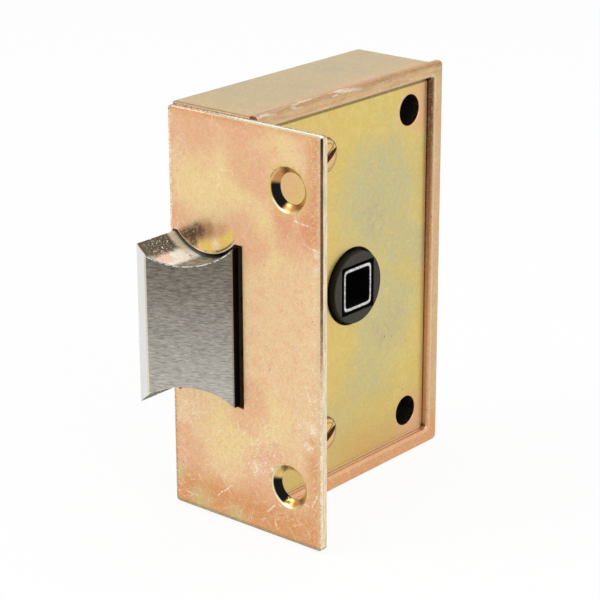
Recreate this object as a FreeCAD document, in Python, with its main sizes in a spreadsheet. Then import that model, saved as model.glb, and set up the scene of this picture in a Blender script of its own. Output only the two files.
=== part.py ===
"""A cupboard rim latch: a tray case with its forend, a bevelled spring bolt and a spindle follower.

The origin lies on the spindle's axis, in the plane of the case's rim, which rests on the door.
+X points out of the case's open side to the door, -Y out of the forend, +Z up.
All lengths are in millimetres and all angles in degrees.
"""
import FreeCAD, Part
import math
import os
import Sketcher

# Driving sizes, each with what it measures
SIZES = {
    # Case
    "backset": (36.55, "front of the forend to the spindle's axis"),
    "case_height": (92.0, "height over the case's top and bottom walls"),
    "case_thick": (23.5, "rim to the outside of the closed back"),
    "case_reach": (30.05, "spindle's axis to the outside of the rear wall"),
    "sheet": (1.5, "thickness of the case's sheet"),
    "case_corner": (2.2, "outer radius of the rear corners"),
    "case_front_round": (0.6, "outer radius of the corners at the forend"),
    "back_round": (0.9, "radius round the closed back"),
    "rim_flare": (0.45, "how far the rim stands out from the walls"),
    "rim_lip": (1.4, "thickness of the rim's outer lip"),
    "rim_width": (3.55, "width of the rolled rim seen from the door"),
    "rim_roll": (4.2, "depth of the rolled edge inside the mouth"),
    "mouth_round": (0.9, "rounding of the rim into the mouth"),
    "lip_corner": (1.3, "radius of the rim's rear corners"),
    "lip_round": (0.35, "rounding of the rim's outer edge"),
    "rim_end_gap": (0.9, "gap between the rim's ends and the forend"),
    "flare_start": (5.0, "forend's back to the place where the flare begins"),
    "flare_run": (10.0, "length over which the flare grows to its full width"),
    # Forend
    "forend_short": (0.35, "how far the forend stops below the case's top and above its bottom"),
    "forend_width": (42.1, "width of the forend"),
    "forend_thick": (2.0, "thickness of the forend"),
    "forend_overlap": (19.4, "how far the forend passes the rim over the door's edge"),
    "forend_corner": (0.9, "corner radius of the forend"),
    "forend_edge": (0.25, "rounding of the forend's front edge"),
    "forend_hole_out": (10.4, "rim to the line of the forend's screw holes"),
    "forend_hole_in": (12.65, "end of the forend to its screw holes"),
    "forend_hole": (7.2, "diameter of the forend's screw holes"),
    "forend_sink": (9.6, "diameter of the countersinks at the surface"),
    "stud_in": (15.0, "outside of the case's top and bottom to the studs"),
    "stud_diameter": (4.0, "diameter of the studs"),
    "stud_length": (5.6, "length of the studs behind the forend"),
    "nut_width": (7.0, "width across the flats of the nuts"),
    "nut_height": (3.2, "height of the nuts"),
    # Cover
    "cover_thick": (1.5, "thickness of the cover plate"),
    "cover_recess": (1.6, "depth of the cover's face below the rim"),
    "cover_gap": (0.45, "gap between the cover's edge and the rim"),
    "cover_front_gap": (0.15, "gap between the cover and the forend"),
    "cover_corner": (1.2, "corner radius of the cover"),
    "cover_screw_back": (26.25, "front of the forend back to the cover screws"),
    "cover_screw_in": (13.5, "outside of the case's top and bottom to the cover screws"),
    "cover_screw": (4.0, "thread diameter of the cover screws"),
    "cover_screw_length": (7.0, "length of the cover screws below the head"),
    "screw_head": (7.8, "diameter of the cover screws' heads"),
    "screw_head_height": (1.5, "height of the cover screws' heads"),
    "screw_slot": (1.1, "width of the screwdriver slot"),
    "screw_slot_depth": (0.8, "depth of the screwdriver slot"),
    "slot_turn": (28.0, "turn of the screwdriver slots from upright"),
    "post_diameter": (8.0, "diameter of the cover posts"),
    "post_bore_end": (1.0, "wall left under the tapped bore"),
    "rivet_diameter": (4.0, "diameter of spigots and rivets in the back"),
    # Fixing tubes
    "fixing_from_rear": (9.9, "outside of the rear wall forward to the fixing holes"),
    "fixing_in": (9.5, "outside of the case's top and bottom to the fixing holes"),
    "fixing_hole": (7.1, "diameter of the fixing holes"),
    "tube_wall": (1.45, "wall of the fixing tubes"),
    "tube_spigot_wall": (0.75, "wall of the tubes' riveted ends"),
    # Bolt
    "bolt_throw": (11.6, "how far the bolt stands out of the forend"),
    "bolt_height": (36.0, "height of the bolt"),
    "bolt_side_gap": (0.25, "gap between the bolt and the cover"),
    "bolt_thick": (18.3, "thickness of the bolt"),
    "groove_radius": (12.0, "radius of the hollow in the bolt's top and underside"),
    "groove_depth": (4.2, "depth of that hollow"),
    "nose_flat": (2.05, "width of the bolt's flat nose"),
    "bevel_stop": (1.6, "straight side left between the bevel and the forend"),
    "bolt_inside": (5.7, "how far the bolt's head reaches behind the forend's back"),
    "bolt_edge": (0.2, "rounding of the bolt's nose"),
    "slot_gap": (0.35, "gap round the bolt in the forend's slot"),
    "slot_side_gap": (1.15, "gap beside the bolt on the door's side"),
    # Tail plate
    "tail_thick": (3.0, "thickness of the tail plate"),
    "tongue_length": (10.5, "how far the tail's tongue reaches into the bolt"),
    "tongue_height": (20.0, "height of the tongue"),
    "tail_rivet": (3.0, "diameter of the rivets through bolt and tail"),
    "tail_rivet_spread": (12.0, "distance between those rivets"),
    "tail_rivet_in": (5.5, "rear of the bolt's head to those rivets"),
    "tail_bar": (3.3, "height of the tail's top bar"),
    "tail_low_bar": (8.0, "height of the tail's slotted bar"),
    "tail_rear_bar": (4.0, "width of the tail's rear bar"),
    "window_gap": (0.5, "gap between the follower and the tail's window"),
    "web_gap": (1.5, "gap between the follower and the tail when drawn back"),
    # Follower
    "push_radius": (14.0, "height over the spindle at which the arm pushes"),
    "push_start": (1.5, "distance of the push face behind the spindle at rest"),
    "push_gap": (0.15, "clearance between the arm and the push face"),
    "lug_below": (2.5, "reach of the push face below the line of push"),
    "arm_overrun": (3.0, "angle of flank past the end of the turn"),
    "arm_back": (4.6, "reach of the arm's tip ahead of the spindle"),
    "arm_back_height": (17.6, "height of that corner of the arm"),
    "arm_root": (6.0, "reach of the arm's root ahead of the spindle"),
    "arm_root_height": (7.0, "height at which the arm joins the hub"),
    "arm_thick": (8.0, "thickness of the arm along the spindle"),
    "hub_radius": (10.0, "radius of the follower's hub"),
    "boss_radius": (8.35, "radius of the boss that shows in the cover"),
    "boss_gap": (0.6, "gap round that boss"),
    "boss_proud": (1.5, "how far the boss stands out of the cover"),
    "journal_radius": (8.0, "radius of the follower's rear journal"),
    "journal_gap": (0.08, "running clearance of the journal"),
    "hub_play": (0.2, "end play of the hub at each side"),
    "spindle_square": (8.0, "side of the square for the spindle"),
    "sleeve_wall": (1.0, "wall of the square sleeve"),
    "sleeve_sunk": (0.1, "how far the sleeve lies below the boss's face"),
    "sleeve_round": (0.9, "outer corner radius of the sleeve"),
    "pocket_gap": (0.7, "gap round the sleeve at the boss's mouth"),
    "pocket_depth": (1.5, "depth of that gap"),
    "stop_pin": (4.0, "diameter of the follower's stop pin"),
    "stop_height": (15.5, "height of the stop pin over the spindle"),
    "stop_gap": (0.2, "gap between the arm and the stop pin"),
    # Guides and spring
    "guide_drop": (17.0, "spindle's axis down to the guide pins"),
    "guide_front": (13.3, "spindle's axis forward to the front guide pin"),
    "guide_rear": (8.0, "spindle's axis back to the rear guide pin"),
    "guide_neck": (4.0, "diameter of the guide pins in the tail's slots"),
    "guide_shoulder": (7.0, "diameter of the guide pins under the tail"),
    "guide_gap": (0.1, "clearance of the guide pins in the slots"),
    "tail_play": (0.15, "clearance between the tail and its guides"),
    "clip_diameter": (7.6, "outer diameter of the clips"),
    "clip_thick": (0.8, "thickness of the clips"),
    "clip_groove": (3.0, "diameter of the pin in the clip's groove"),
    "pin_end": (0.9, "length of the guide pin beyond the clip"),
    "spring_height": (27.0, "height of the spring over the spindle"),
    "spring_mean": (6.1, "mean diameter of the latch spring"),
    "spring_wire": (0.9, "wire of the latch spring"),
    "spring_turns": (11.0, "turns of the latch spring"),
    "rod_diameter": (3.5, "diameter of the spring's guide rod"),
    "rod_front": (8.0, "spindle's axis forward to the rod's tip"),
    "rod_gap": (0.25, "clearance of the rod in the tail's tab"),
    "rod_behind": (1.2, "length of the rod's riveted end behind the bracket"),
    "tab_front": (6.5, "spindle's axis forward to the front of the spring tab"),
    "tab_width": (9.0, "width of the spring tab"),
    "tab_top": (31.0, "height of the spring tab over the spindle"),
    "bracket_from_rear": (9.05, "outside of the rear wall forward to the bracket's upright"),
    "bracket_thick": (1.5, "thickness of the bracket"),
    "bracket_foot": (13.5, "length of the bracket's foot"),
    "bracket_low": (23.6, "height of the bracket's lower edge"),
    "bracket_top": (31.4, "height of the bracket's upper edge"),
    "bracket_reach": (14.6, "reach of the bracket's upright from the back"),
    "bracket_rivet": (3.0, "diameter of the bracket's rivets"),
    "bracket_rivet_pitch": (6.0, "distance between the bracket's rivets"),
    "rivet_head": (5.2, "diameter of the bracket rivets' heads"),
    "rivet_head_height": (0.9, "height of the bracket rivets' heads"),
}

FLANK_STEPS = 9     # straight runs along the arm's curved flank

doc = FreeCAD.newDocument("rim_latch")
sheet = doc.addObject("Spreadsheet::Sheet", "sizes")


class Size:
    """A number, with the expression that ties it to the sheet."""

    def __init__(self, number, text=None):
        self.number = float(number)
        self.text = text or repr(float(number))

    def __add__(self, other):
        other = as_size(other)
        return Size(self.number + other.number, f"({self.text} + {other.text})")

    def __radd__(self, other):
        return as_size(other) + self

    def __sub__(self, other):
        other = as_size(other)
        return Size(self.number - other.number, f"({self.text} - {other.text})")

    def __rsub__(self, other):
        return as_size(other) - self

    def __mul__(self, other):
        other = as_size(other)
        return Size(self.number * other.number, f"({self.text} * {other.text})")

    def __rmul__(self, other):
        return as_size(other) * self

    def __truediv__(self, other):
        other = as_size(other)
        return Size(self.number / other.number, f"({self.text} / {other.text})")

    def __neg__(self):
        return Size(-self.number, f"(0 - {self.text})")


def as_size(amount):
    return amount if isinstance(amount, Size) else Size(amount)


def sine(angle):
    return Size(math.sin(math.radians(angle.number)), f"sin({angle.text})")


def cosine(angle):
    return Size(math.cos(math.radians(angle.number)), f"cos({angle.text})")


def root(amount):
    return Size(math.sqrt(amount.number), f"sqrt({amount.text})")


class Named:
    """The sheet's sizes as attributes."""


def fill_sheet():
    named = Named()
    for row, (alias, (number, meaning)) in enumerate(SIZES.items(), 1):
        sheet.set(f"A{row}", meaning)
        sheet.set(f"B{row}", str(number))
        sheet.setAlias(f"B{row}", alias)
        setattr(named, alias, Size(number, f"sizes.{alias}"))
    doc.recompute()
    return named


s = fill_sheet()
DEGREES = 180.0 / math.pi

# Planes across the latch, from the back to the door
rim_x = Size(0)
back_x = -s.case_thick
floor_x = back_x + s.sheet
cover_face_x = rim_x - s.cover_recess
cover_back_x = cover_face_x - s.cover_thick
bolt_right_x = cover_back_x - s.bolt_side_gap
bolt_left_x = bolt_right_x - s.bolt_thick
mid_x = (bolt_left_x + bolt_right_x) / 2
tail_low_x = mid_x - s.tail_thick / 2
tail_high_x = mid_x + s.tail_thick / 2
boss_face_x = cover_face_x + s.boss_proud
PAST = Size(1)      # overrun of a cutting tool past the surface it leaves

# Planes from the forend to the rear
front_y = -s.backset
front_wall_y = front_y + s.forend_thick
front_inner_y = front_wall_y + s.sheet
rear_inner_y = s.case_reach - s.sheet
nose_y = front_y - s.bolt_throw
head_rear_y = front_wall_y + s.bolt_inside
half_height = s.case_height / 2
rim_half = half_height + s.rim_flare
mouth_half = rim_half - s.rim_width
mouth_rear_y = s.case_reach + s.rim_flare - s.rim_width
half_bolt = s.bolt_height / 2
groove_centre_z = half_bolt - s.groove_depth + s.groove_radius
forend_half = half_height - s.forend_short
fixing_y = s.case_reach - s.fixing_from_rear
fixing_z = half_height - s.fixing_in
cover_screw_y = front_y + s.cover_screw_back
cover_screw_z = half_height - s.cover_screw_in
stud_z = half_height - s.stud_in
bracket_front_y = s.case_reach - s.bracket_from_rear


def bind(item, prop, amount):
    """Sets a property to a size and ties it to the sheet."""
    item.setExpression(prop, as_size(amount).text)


def place(item, x, y, z):
    for axis, amount in zip("xyz", (x, y, z)):
        bind(item, f"Placement.Base.{axis}", amount)


def box(name, x, y, z):
    """A box from its low and high planes along each axis."""
    item = doc.addObject("Part::Box", name)
    for prop, (low, high) in zip(("Length", "Width", "Height"), (x, y, z)):
        bind(item, prop, high - low)
    place(item, x[0], y[0], z[0])
    return item


TURNS = {
    "x": FreeCAD.Rotation(FreeCAD.Vector(0, 1, 0), 90),
    "y": FreeCAD.Rotation(FreeCAD.Vector(1, 0, 0), -90),
    "z": FreeCAD.Rotation(),
}


def along(axis, low, across):
    """The point at a height along an axis and at two places across it, in the order x, y, z."""
    point = list(across)
    point.insert("xyz".index(axis), low)
    return point


def rod(name, axis, span, across, radius):
    """A cylinder along an axis over a span, at two places across it."""
    item = doc.addObject("Part::Cylinder", name)
    item.Placement.Rotation = TURNS[axis]
    bind(item, "Radius", radius)
    bind(item, "Height", span[1] - span[0])
    place(item, *along(axis, span[0], across))
    return item


def cone(name, axis, span, across, radii):
    """A cone along an axis, with its radius at the low and at the high end."""
    item = doc.addObject("Part::Cone", name)
    item.Placement.Rotation = TURNS[axis]
    bind(item, "Radius1", radii[0])
    bind(item, "Radius2", radii[1])
    bind(item, "Height", span[1] - span[0])
    place(item, *along(axis, span[0], across))
    return item


def fuse(name, *items):
    item = doc.addObject("Part::MultiFuse", name)
    item.Shapes = list(items)
    item.Refine = True
    return item


def cut(name, base, *tools):
    item = doc.addObject("Part::Cut", name)
    item.Base = base
    item.Tool = tools[0] if len(tools) == 1 else fuse(name + "_tools", *tools)
    item.Refine = True
    return item


def group(name, *items):
    item = doc.addObject("Part::Compound", name)
    item.Links = list(items)
    return item


def rounded(name, base, radius, chosen):
    """Rounds the edges of a solid that a test picks out."""
    doc.recompute()
    item = doc.addObject("Part::Fillet", name)
    item.Base = base
    picked = [n for n, edge in enumerate(base.Shape.Edges, 1) if chosen(edge)]
    if not picked:
        raise ValueError(f"{name}: no edge to round")
    item.Edges = [(n, radius.number, radius.number) for n in picked]
    return item


def near(amount, size):
    return abs(amount - as_size(size).number) < 1e-3


def runs(edge, axis):
    """True for a straight edge along an axis."""
    if edge.Curve.TypeId != "Part::GeomLine":
        return False
    return abs(getattr(edge.tangentAt(edge.FirstParameter), axis)) > 0.999


def lies(edge, axis, size):
    """True for an edge that lies in a plane square to an axis."""
    limits = edge.BoundBox
    return near(getattr(limits, f"{axis}Min"), size) and near(getattr(limits, f"{axis}Max"), size)


def tie(sketch, kind, geometry, point, amount):
    """Ties one coordinate of a sketch point to the sheet."""
    index = sketch.addConstraint(Sketcher.Constraint(kind, -1, 1, geometry, point, amount.number))
    sketch.setExpression(f"Constraints[{index}]", amount.text)


def polygon(sketch, corners):
    """A closed outline whose corners are tied to the sheet."""
    corners = [(as_size(a), as_size(b)) for a, b in corners]
    first = sketch.GeometryCount
    spots = [FreeCAD.Vector(a.number, b.number, 0) for a, b in corners]
    count = len(spots)
    for n in range(count):
        sketch.addGeometry(Part.LineSegment(spots[n], spots[(n + 1) % count]))
    for n in range(count):
        sketch.addConstraint(Sketcher.Constraint("Coincident", first + n, 2, first + (n + 1) % count, 1))
    for n, (a, b) in enumerate(corners):
        tie(sketch, "DistanceX", first + n, 1, a)
        tie(sketch, "DistanceY", first + n, 1, b)


def prism(name, plane, outlines, low, high):
    """A pad of closed outlines on an origin plane, between two planes square to it."""
    body = doc.addObject("PartDesign::Body", name)
    sketch = body.newObject("Sketcher::SketchObject", name + "_outline")
    origin = [item for item in body.Origin.OriginFeatures if item.Role == plane][0]
    sketch.AttachmentSupport = [(origin, "")]
    sketch.MapMode = "FlatFace"
    bind(sketch, "AttachmentOffset.Base.z", low)
    for corners in outlines:
        polygon(sketch, corners)
    pad = body.newObject("PartDesign::Pad", name + "_pad")
    pad.Profile = sketch
    bind(pad, "Length", high - low)
    body.Tip = pad
    return body


def obround(name, x, y, z, radius):
    """A slot through x, with round ends, between two centres along y."""
    return fuse(
        name,
        rod(name + "_a", "x", x, (y[0], z), radius),
        rod(name + "_b", "x", x, (y[1], z), radius),
        box(name + "_c", x, y, (z - radius, z + radius)),
    )


def bolt_section(name, gap, side_gap, y):
    """The bolt's hollow-sided section, or its slot, as a solid between two planes along y."""
    blank = box(name + "_blank", (bolt_left_x - gap, bolt_right_x + side_gap), y,
                (-half_bolt - gap, half_bolt + gap))
    hollows = [
        rod(f"{name}_hollow_{n}", "y", (y[0] - PAST, y[1] + PAST), (mid_x, z), s.groove_radius - gap)
        for n, z in enumerate((groove_centre_z, -groove_centre_z))
    ]
    return cut(name, blank, *hollows)


def case():
    """Pressed tray: closed back, four walls and a rolled, slightly flared rim."""
    shell = box("case_block", (back_x, rim_x), (front_wall_y, s.case_reach), (-half_height, half_height))
    shell = rounded("case_corners", shell, s.case_corner,
                    lambda edge: runs(edge, "x") and edge.BoundBox.YMin > 0)
    shell = rounded("case_front_corners", shell, s.case_front_round,
                    lambda edge: runs(edge, "x") and lies(edge, "Y", front_wall_y))
    shell = rounded("case_back_edges", shell, s.back_round, lambda edge: lies(edge, "X", back_x))
    flare_y = front_wall_y + s.flare_start
    full_y = flare_y + s.flare_run
    rim_rear_y = s.case_reach + s.rim_flare
    lip = prism("rim_lip_plate", "YZ_Plane", [[
        (flare_y, half_height - s.rim_flare), (flare_y, half_height), (full_y, rim_half),
        (rim_rear_y, rim_half), (rim_rear_y, -rim_half), (full_y, -rim_half),
        (flare_y, -half_height), (flare_y, s.rim_flare - half_height),
    ]], rim_x - s.rim_lip, rim_x)
    lip = rounded("rim_lip_corners", lip, s.lip_corner,
                  lambda edge: runs(edge, "x") and edge.BoundBox.YMin > 0)
    body = fuse("case_outside", shell, lip)
    body = rounded("rim_outer_edge", body, s.lip_round,
                   lambda edge: lies(edge, "X", rim_x) and edge.BoundBox.YMax > front_inner_y.number)
    inner_half = half_height - s.sheet
    cavity = box("cavity", (floor_x, rim_x - s.rim_roll), (front_inner_y, rear_inner_y),
                 (-inner_half, inner_half))
    mouth = box("mouth", (rim_x - s.rim_roll - PAST, rim_x + PAST), (front_inner_y, mouth_rear_y),
                (-mouth_half, mouth_half))
    front_low = box("front_wall_top", (cover_back_x, rim_x + PAST), (front_wall_y - PAST, front_inner_y),
                    (-mouth_half, mouth_half))
    rim_ends = box("rim_ends", (cover_face_x, rim_x + PAST),
                   (front_wall_y - PAST, front_wall_y + s.rim_end_gap), (-rim_half - PAST, rim_half + PAST))
    body = cut("case_hollow", body, cavity, mouth, front_low, rim_ends)
    body = rounded("mouth_edge", body, s.mouth_round, lambda edge: lies(edge, "X", rim_x) and (
        lies(edge, "Z", mouth_half) or lies(edge, "Z", -mouth_half) or lies(edge, "Y", mouth_rear_y)))
    through = (back_x - PAST, floor_x + PAST)
    holes = [rod("journal_hole", "x", through, (Size(0), Size(0)), s.journal_radius + s.journal_gap)]
    spigot = s.fixing_hole / 2 + s.tube_spigot_wall
    for word, side in (("upper", 1), ("lower", -1)):
        holes.append(rod(f"tube_hole_{word}", "x", through, (fixing_y, side * fixing_z), spigot))
        holes.append(rod(f"post_hole_{word}", "x", through,
                         (cover_screw_y, side * cover_screw_z), s.rivet_diameter / 2))
        holes.append(rod(f"stud_hole_{word}", "y", (front_wall_y - PAST, front_inner_y + PAST),
                         (mid_x, side * stud_z), s.stud_diameter / 2))
    for word, y, z in (("guide_front", -s.guide_front, -s.guide_drop),
                       ("guide_rear", s.guide_rear, -s.guide_drop),
                       ("stop", stop_pin_y, s.stop_height)):
        holes.append(rod(f"{word}_hole", "x", through, (y, z), s.rivet_diameter / 2))
    for n, y in enumerate(bracket_rivet_ys):
        holes.append(rod(f"bracket_hole_{n}", "x", through, (y, spring_z), s.bracket_rivet / 2))
    slot = bolt_section("case_slot", s.slot_gap, s.slot_side_gap, (front_wall_y - PAST, front_inner_y + PAST))
    return cut("case", body, slot, *holes)


def forend():
    """Flat plate across the front, countersunk where it covers the door's edge."""
    right_x = rim_x + s.forend_overlap
    plate = box("forend_plate", (right_x - s.forend_width, right_x), (front_y, front_wall_y),
                (-forend_half, forend_half))
    plate = rounded("forend_corners", plate, s.forend_corner, lambda edge: runs(edge, "y"))
    plate = rounded("forend_edges", plate, s.forend_edge, lambda edge: lies(edge, "Y", front_y))
    tools = [bolt_section("forend_slot", s.slot_gap, s.slot_side_gap, (front_y - PAST, front_wall_y + PAST))]
    sink = (s.forend_sink - s.forend_hole) / 2
    for word, side in (("upper", 1), ("lower", -1)):
        centre = (s.forend_hole_out, side * (forend_half - s.forend_hole_in))
        tools.append(rod(f"forend_hole_{word}", "y", (front_y - PAST, front_wall_y + PAST),
                         centre, s.forend_hole / 2))
        tools.append(cone(f"forend_sink_{word}", "y", (front_y - PAST, front_y + sink), centre,
                          (s.forend_sink / 2 + PAST, s.forend_hole / 2)))
    return cut("forend", plate, *tools)


def forend_studs():
    """Two studs on the forend's back that hold it to the case's front wall."""
    return group("forend_studs", *[
        rod(f"stud_{word}", "y", (front_wall_y, front_wall_y + s.stud_length),
            (mid_x, side * stud_z), s.stud_diameter / 2)
        for word, side in (("upper", 1), ("lower", -1))
    ])


def forend_nuts():
    """Two hexagon nuts on the studs, inside the front wall."""
    nuts = []
    for word, side in (("upper", 1), ("lower", -1)):
        corner = s.nut_width / 2 / math.cos(math.pi / 6)
        blank = prism(f"nut_{word}_blank", "XZ_Plane", [[
            (mid_x + corner * math.cos(math.radians(turn)), side * stud_z + corner * math.sin(math.radians(turn)))
            for turn in range(0, 360, 60)
        ]], -front_inner_y - s.nut_height, -front_inner_y)
        bore = rod(f"nut_{word}_bore", "y", (front_inner_y - PAST, front_inner_y + s.nut_height + PAST),
                   (mid_x, side * stud_z), s.stud_diameter / 2)
        nuts.append(cut(f"nut_{word}", blank, bore))
    return group("forend_nuts", *nuts)


def cover_plate():
    """Flat plate let into the mouth, with its boss, screw and fixing holes."""
    half = mouth_half - s.cover_gap
    plate = box("cover_blank", (cover_back_x, cover_face_x),
                (front_wall_y + s.cover_front_gap, mouth_rear_y - s.cover_gap), (-half, half))
    plate = rounded("cover_corners", plate, s.cover_corner,
                    lambda edge: runs(edge, "x") and edge.BoundBox.YMin > 0)
    through = (cover_back_x - PAST, cover_face_x + PAST)
    tools = [rod("boss_hole", "x", through, (Size(0), Size(0)), s.boss_radius + s.boss_gap)]
    for word, side in (("upper", 1), ("lower", -1)):
        tools.append(rod(f"fixing_hole_{word}", "x", through,
                         (fixing_y, side * fixing_z), s.fixing_hole / 2))
        tools.append(rod(f"screw_hole_{word}", "x", through,
                         (cover_screw_y, side * cover_screw_z), s.cover_screw / 2))
    return cut("cover_plate", plate, *tools)


def cover_screws():
    """Two slotted screws through the cover into the posts."""
    screws = []
    top_x = cover_face_x + s.screw_head_height
    for word, side in (("upper", 1), ("lower", -1)):
        centre = (cover_screw_y, side * cover_screw_z)
        head = rod(f"screw_{word}_head", "x", (cover_face_x, top_x), centre, s.screw_head / 2)
        head = rounded(f"screw_{word}_dome", head, s.screw_head_height / 2,
                       lambda edge: lies(edge, "X", top_x))
        shank = rod(f"screw_{word}_shank", "x", (cover_face_x - s.cover_screw_length, cover_face_x),
                    centre, s.cover_screw / 2)
        slot = doc.addObject("Part::Box", f"screw_{word}_slot")
        slot.Placement.Rotation = FreeCAD.Rotation(FreeCAD.Vector(1, 0, 0), -side * s.slot_turn.number)
        bind(slot, "Length", s.screw_slot_depth + PAST)
        bind(slot, "Width", s.screw_slot)
        bind(slot, "Height", s.screw_head + 2 * PAST)
        turn = -side * s.slot_turn
        half_width, half_length = s.screw_slot / 2, s.screw_head / 2 + PAST
        place(slot, top_x - s.screw_slot_depth,
              centre[0] - half_width * cosine(turn) + half_length * sine(turn),
              centre[1] - half_width * sine(turn) - half_length * cosine(turn))
        screws.append(cut(f"screw_{word}", fuse(f"screw_{word}_solid", head, shank), slot))
    return group("cover_screws", *screws)


def cover_post(word, side):
    """Tapped post between the back and the cover."""
    centre = (cover_screw_y, side * cover_screw_z)
    post = fuse(
        f"post_{word}_solid",
        rod(f"post_{word}_barrel", "x", (floor_x, cover_back_x), centre, s.post_diameter / 2),
        rod(f"post_{word}_spigot", "x", (back_x, floor_x), centre, s.rivet_diameter / 2),
    )
    tip_x = cover_face_x - s.cover_screw_length
    bore = rod(f"post_{word}_bore", "x", (tip_x - s.post_bore_end, cover_back_x + PAST), centre,
               s.cover_screw / 2)
    return cut(f"cover_post_{word}", post, bore)


def fixing_tube(word, side):
    """Tube that a fixing screw passes through, riveted into the back."""
    centre = (fixing_y, side * fixing_z)
    bore = s.fixing_hole / 2
    solid = fuse(
        f"tube_{word}_solid",
        rod(f"tube_{word}_barrel", "x", (floor_x, cover_back_x), centre, bore + s.tube_wall),
        rod(f"tube_{word}_spigot", "x", (back_x, floor_x), centre, bore + s.tube_spigot_wall),
    )
    return cut(f"fixing_tube_{word}", solid,
               rod(f"tube_{word}_bore", "x", (back_x - PAST, cover_back_x + PAST), centre, bore))


def latch_bolt():
    """Bevelled bolt with a hollow along its top and its underside, slit for the tail."""
    bevel_y = front_y - s.bevel_stop
    blank = prism("bolt_blank", "XY_Plane", [[
        (bolt_left_x, nose_y), (bolt_left_x + s.nose_flat, nose_y), (bolt_right_x, bevel_y),
        (bolt_right_x, head_rear_y), (bolt_left_x, head_rear_y),
    ]], -half_bolt, half_bolt)
    blank = rounded("bolt_nose", blank, s.bolt_edge,
                    lambda edge: runs(edge, "z") and edge.BoundBox.YMax < front_y.number)
    tools = [
        rod(f"bolt_hollow_{n}", "y", (nose_y - PAST, head_rear_y + PAST), (mid_x, z), s.groove_radius)
        for n, z in enumerate((groove_centre_z, -groove_centre_z))
    ]
    tools.append(box("tongue_slit", (tail_low_x, tail_high_x),
                     (head_rear_y - s.tongue_length, head_rear_y + PAST),
                     (-s.tongue_height / 2, s.tongue_height / 2)))
    tools += [
        rod(f"bolt_rivet_hole_{n}", "x", (bolt_left_x - PAST, bolt_right_x + PAST), centre, s.tail_rivet / 2)
        for n, centre in enumerate(tail_rivet_centres)
    ]
    return cut("latch_bolt", blank, *tools)


def bolt_tail():
    """Tail plate: tongue in the bolt, window round the follower, guide slots and spring tab."""
    half_tongue = s.tongue_height / 2
    plate = prism("tail_plate", "YZ_Plane", [
        [
            (head_rear_y - s.tongue_length, -half_tongue), (head_rear_y - s.tongue_length, half_tongue),
            (head_rear_y, half_tongue), (head_rear_y, tail_top_z), (tail_rear_y, tail_top_z),
            (tail_rear_y, tail_bottom_z), (head_rear_y, tail_bottom_z), (head_rear_y, -half_tongue),
        ],
        [
            (window_front_y, window_top_z), (push_face_y, window_top_z), (push_face_y, lug_bottom_z),
            (window_rear_y, lug_bottom_z), (window_rear_y, window_bottom_z), (window_front_y, window_bottom_z),
        ],
    ], tail_low_x, tail_high_x)
    tab = box("spring_tab", (mid_x - s.tab_width / 2, mid_x + s.tab_width / 2),
              (-s.tab_front, tab_rear_y), (tail_top_z - s.tail_bar / 2, s.tab_top))
    through = (tail_low_x - PAST, tail_high_x + PAST)
    radius = s.guide_neck / 2 + s.guide_gap
    tools = [
        obround(f"guide_slot_{n}", through, (y - s.bolt_throw, y), -s.guide_drop, radius)
        for n, y in enumerate((-s.guide_front, s.guide_rear))
    ]
    tools += [
        rod(f"tail_rivet_hole_{n}", "x", through, centre, s.tail_rivet / 2)
        for n, centre in enumerate(tail_rivet_centres)
    ]
    tools.append(rod("rod_hole", "y", (-s.tab_front - PAST, tab_rear_y + PAST), (mid_x, spring_z),
                     s.rod_diameter / 2 + s.rod_gap))
    return cut("bolt_tail", fuse("tail_with_tab", plate, tab), *tools)


def bolt_tail_rivets():
    """Two rivets through the bolt and the tail's tongue, flush at both ends."""
    return group("bolt_tail_rivets", *[
        rod(f"tail_rivet_{n}", "x", (bolt_left_x, bolt_right_x), centre, s.tail_rivet / 2)
        for n, centre in enumerate(tail_rivet_centres)
    ])


def flank(step):
    """A point of the arm's flank at rest: an involute, so that a turn draws the bolt at a steady rate."""
    start = s.push_start / s.push_radius * DEGREES
    turned = (s.bolt_throw / s.push_radius * DEGREES + s.arm_overrun) * (step / FLANK_STEPS)
    reach = s.push_radius * (start + turned) / DEGREES
    return (reach * cosine(turned) - s.push_radius * sine(turned),
            reach * sine(turned) + s.push_radius * cosine(turned))


def follower():
    """Nylon follower: hub, journal in the back, boss in the cover and one lifting arm."""
    centre = (Size(0), Size(0))
    tip_x = cover_back_x - s.hub_play
    heel_x = floor_x + s.hub_play
    foot = flank(0)
    arm = prism("follower_arm", "YZ_Plane", [
        [flank(step) for step in range(FLANK_STEPS + 1)]
        + [(-s.arm_back, s.arm_back_height), (-s.arm_root, s.arm_root_height), (foot[0], s.arm_root_height)]
    ], mid_x - s.arm_thick / 2, mid_x + s.arm_thick / 2)
    boss = rod("follower_boss", "x", (tip_x, boss_face_x), centre, s.boss_radius)
    boss = rounded("boss_edge", boss, s.forend_edge, lambda edge: lies(edge, "X", boss_face_x))
    solid = fuse(
        "follower_solid", boss, arm,
        rod("follower_hub", "x", (heel_x, tip_x), centre, s.hub_radius),
        rod("follower_journal", "x", (back_x, heel_x), centre, s.journal_radius),
    )
    half = s.spindle_square / 2 + s.sleeve_wall
    wide = half + s.pocket_gap
    pocket = box("sleeve_pocket", (back_x - PAST, boss_face_x + PAST), (-half, half), (-half, half))
    pocket = rounded("sleeve_pocket_round", pocket, s.sleeve_round, lambda edge: runs(edge, "x"))
    mouth = box("pocket_mouth", (boss_face_x - s.pocket_depth, boss_face_x + PAST), (-wide, wide), (-wide, wide))
    return cut("follower", solid, pocket, mouth)


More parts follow.
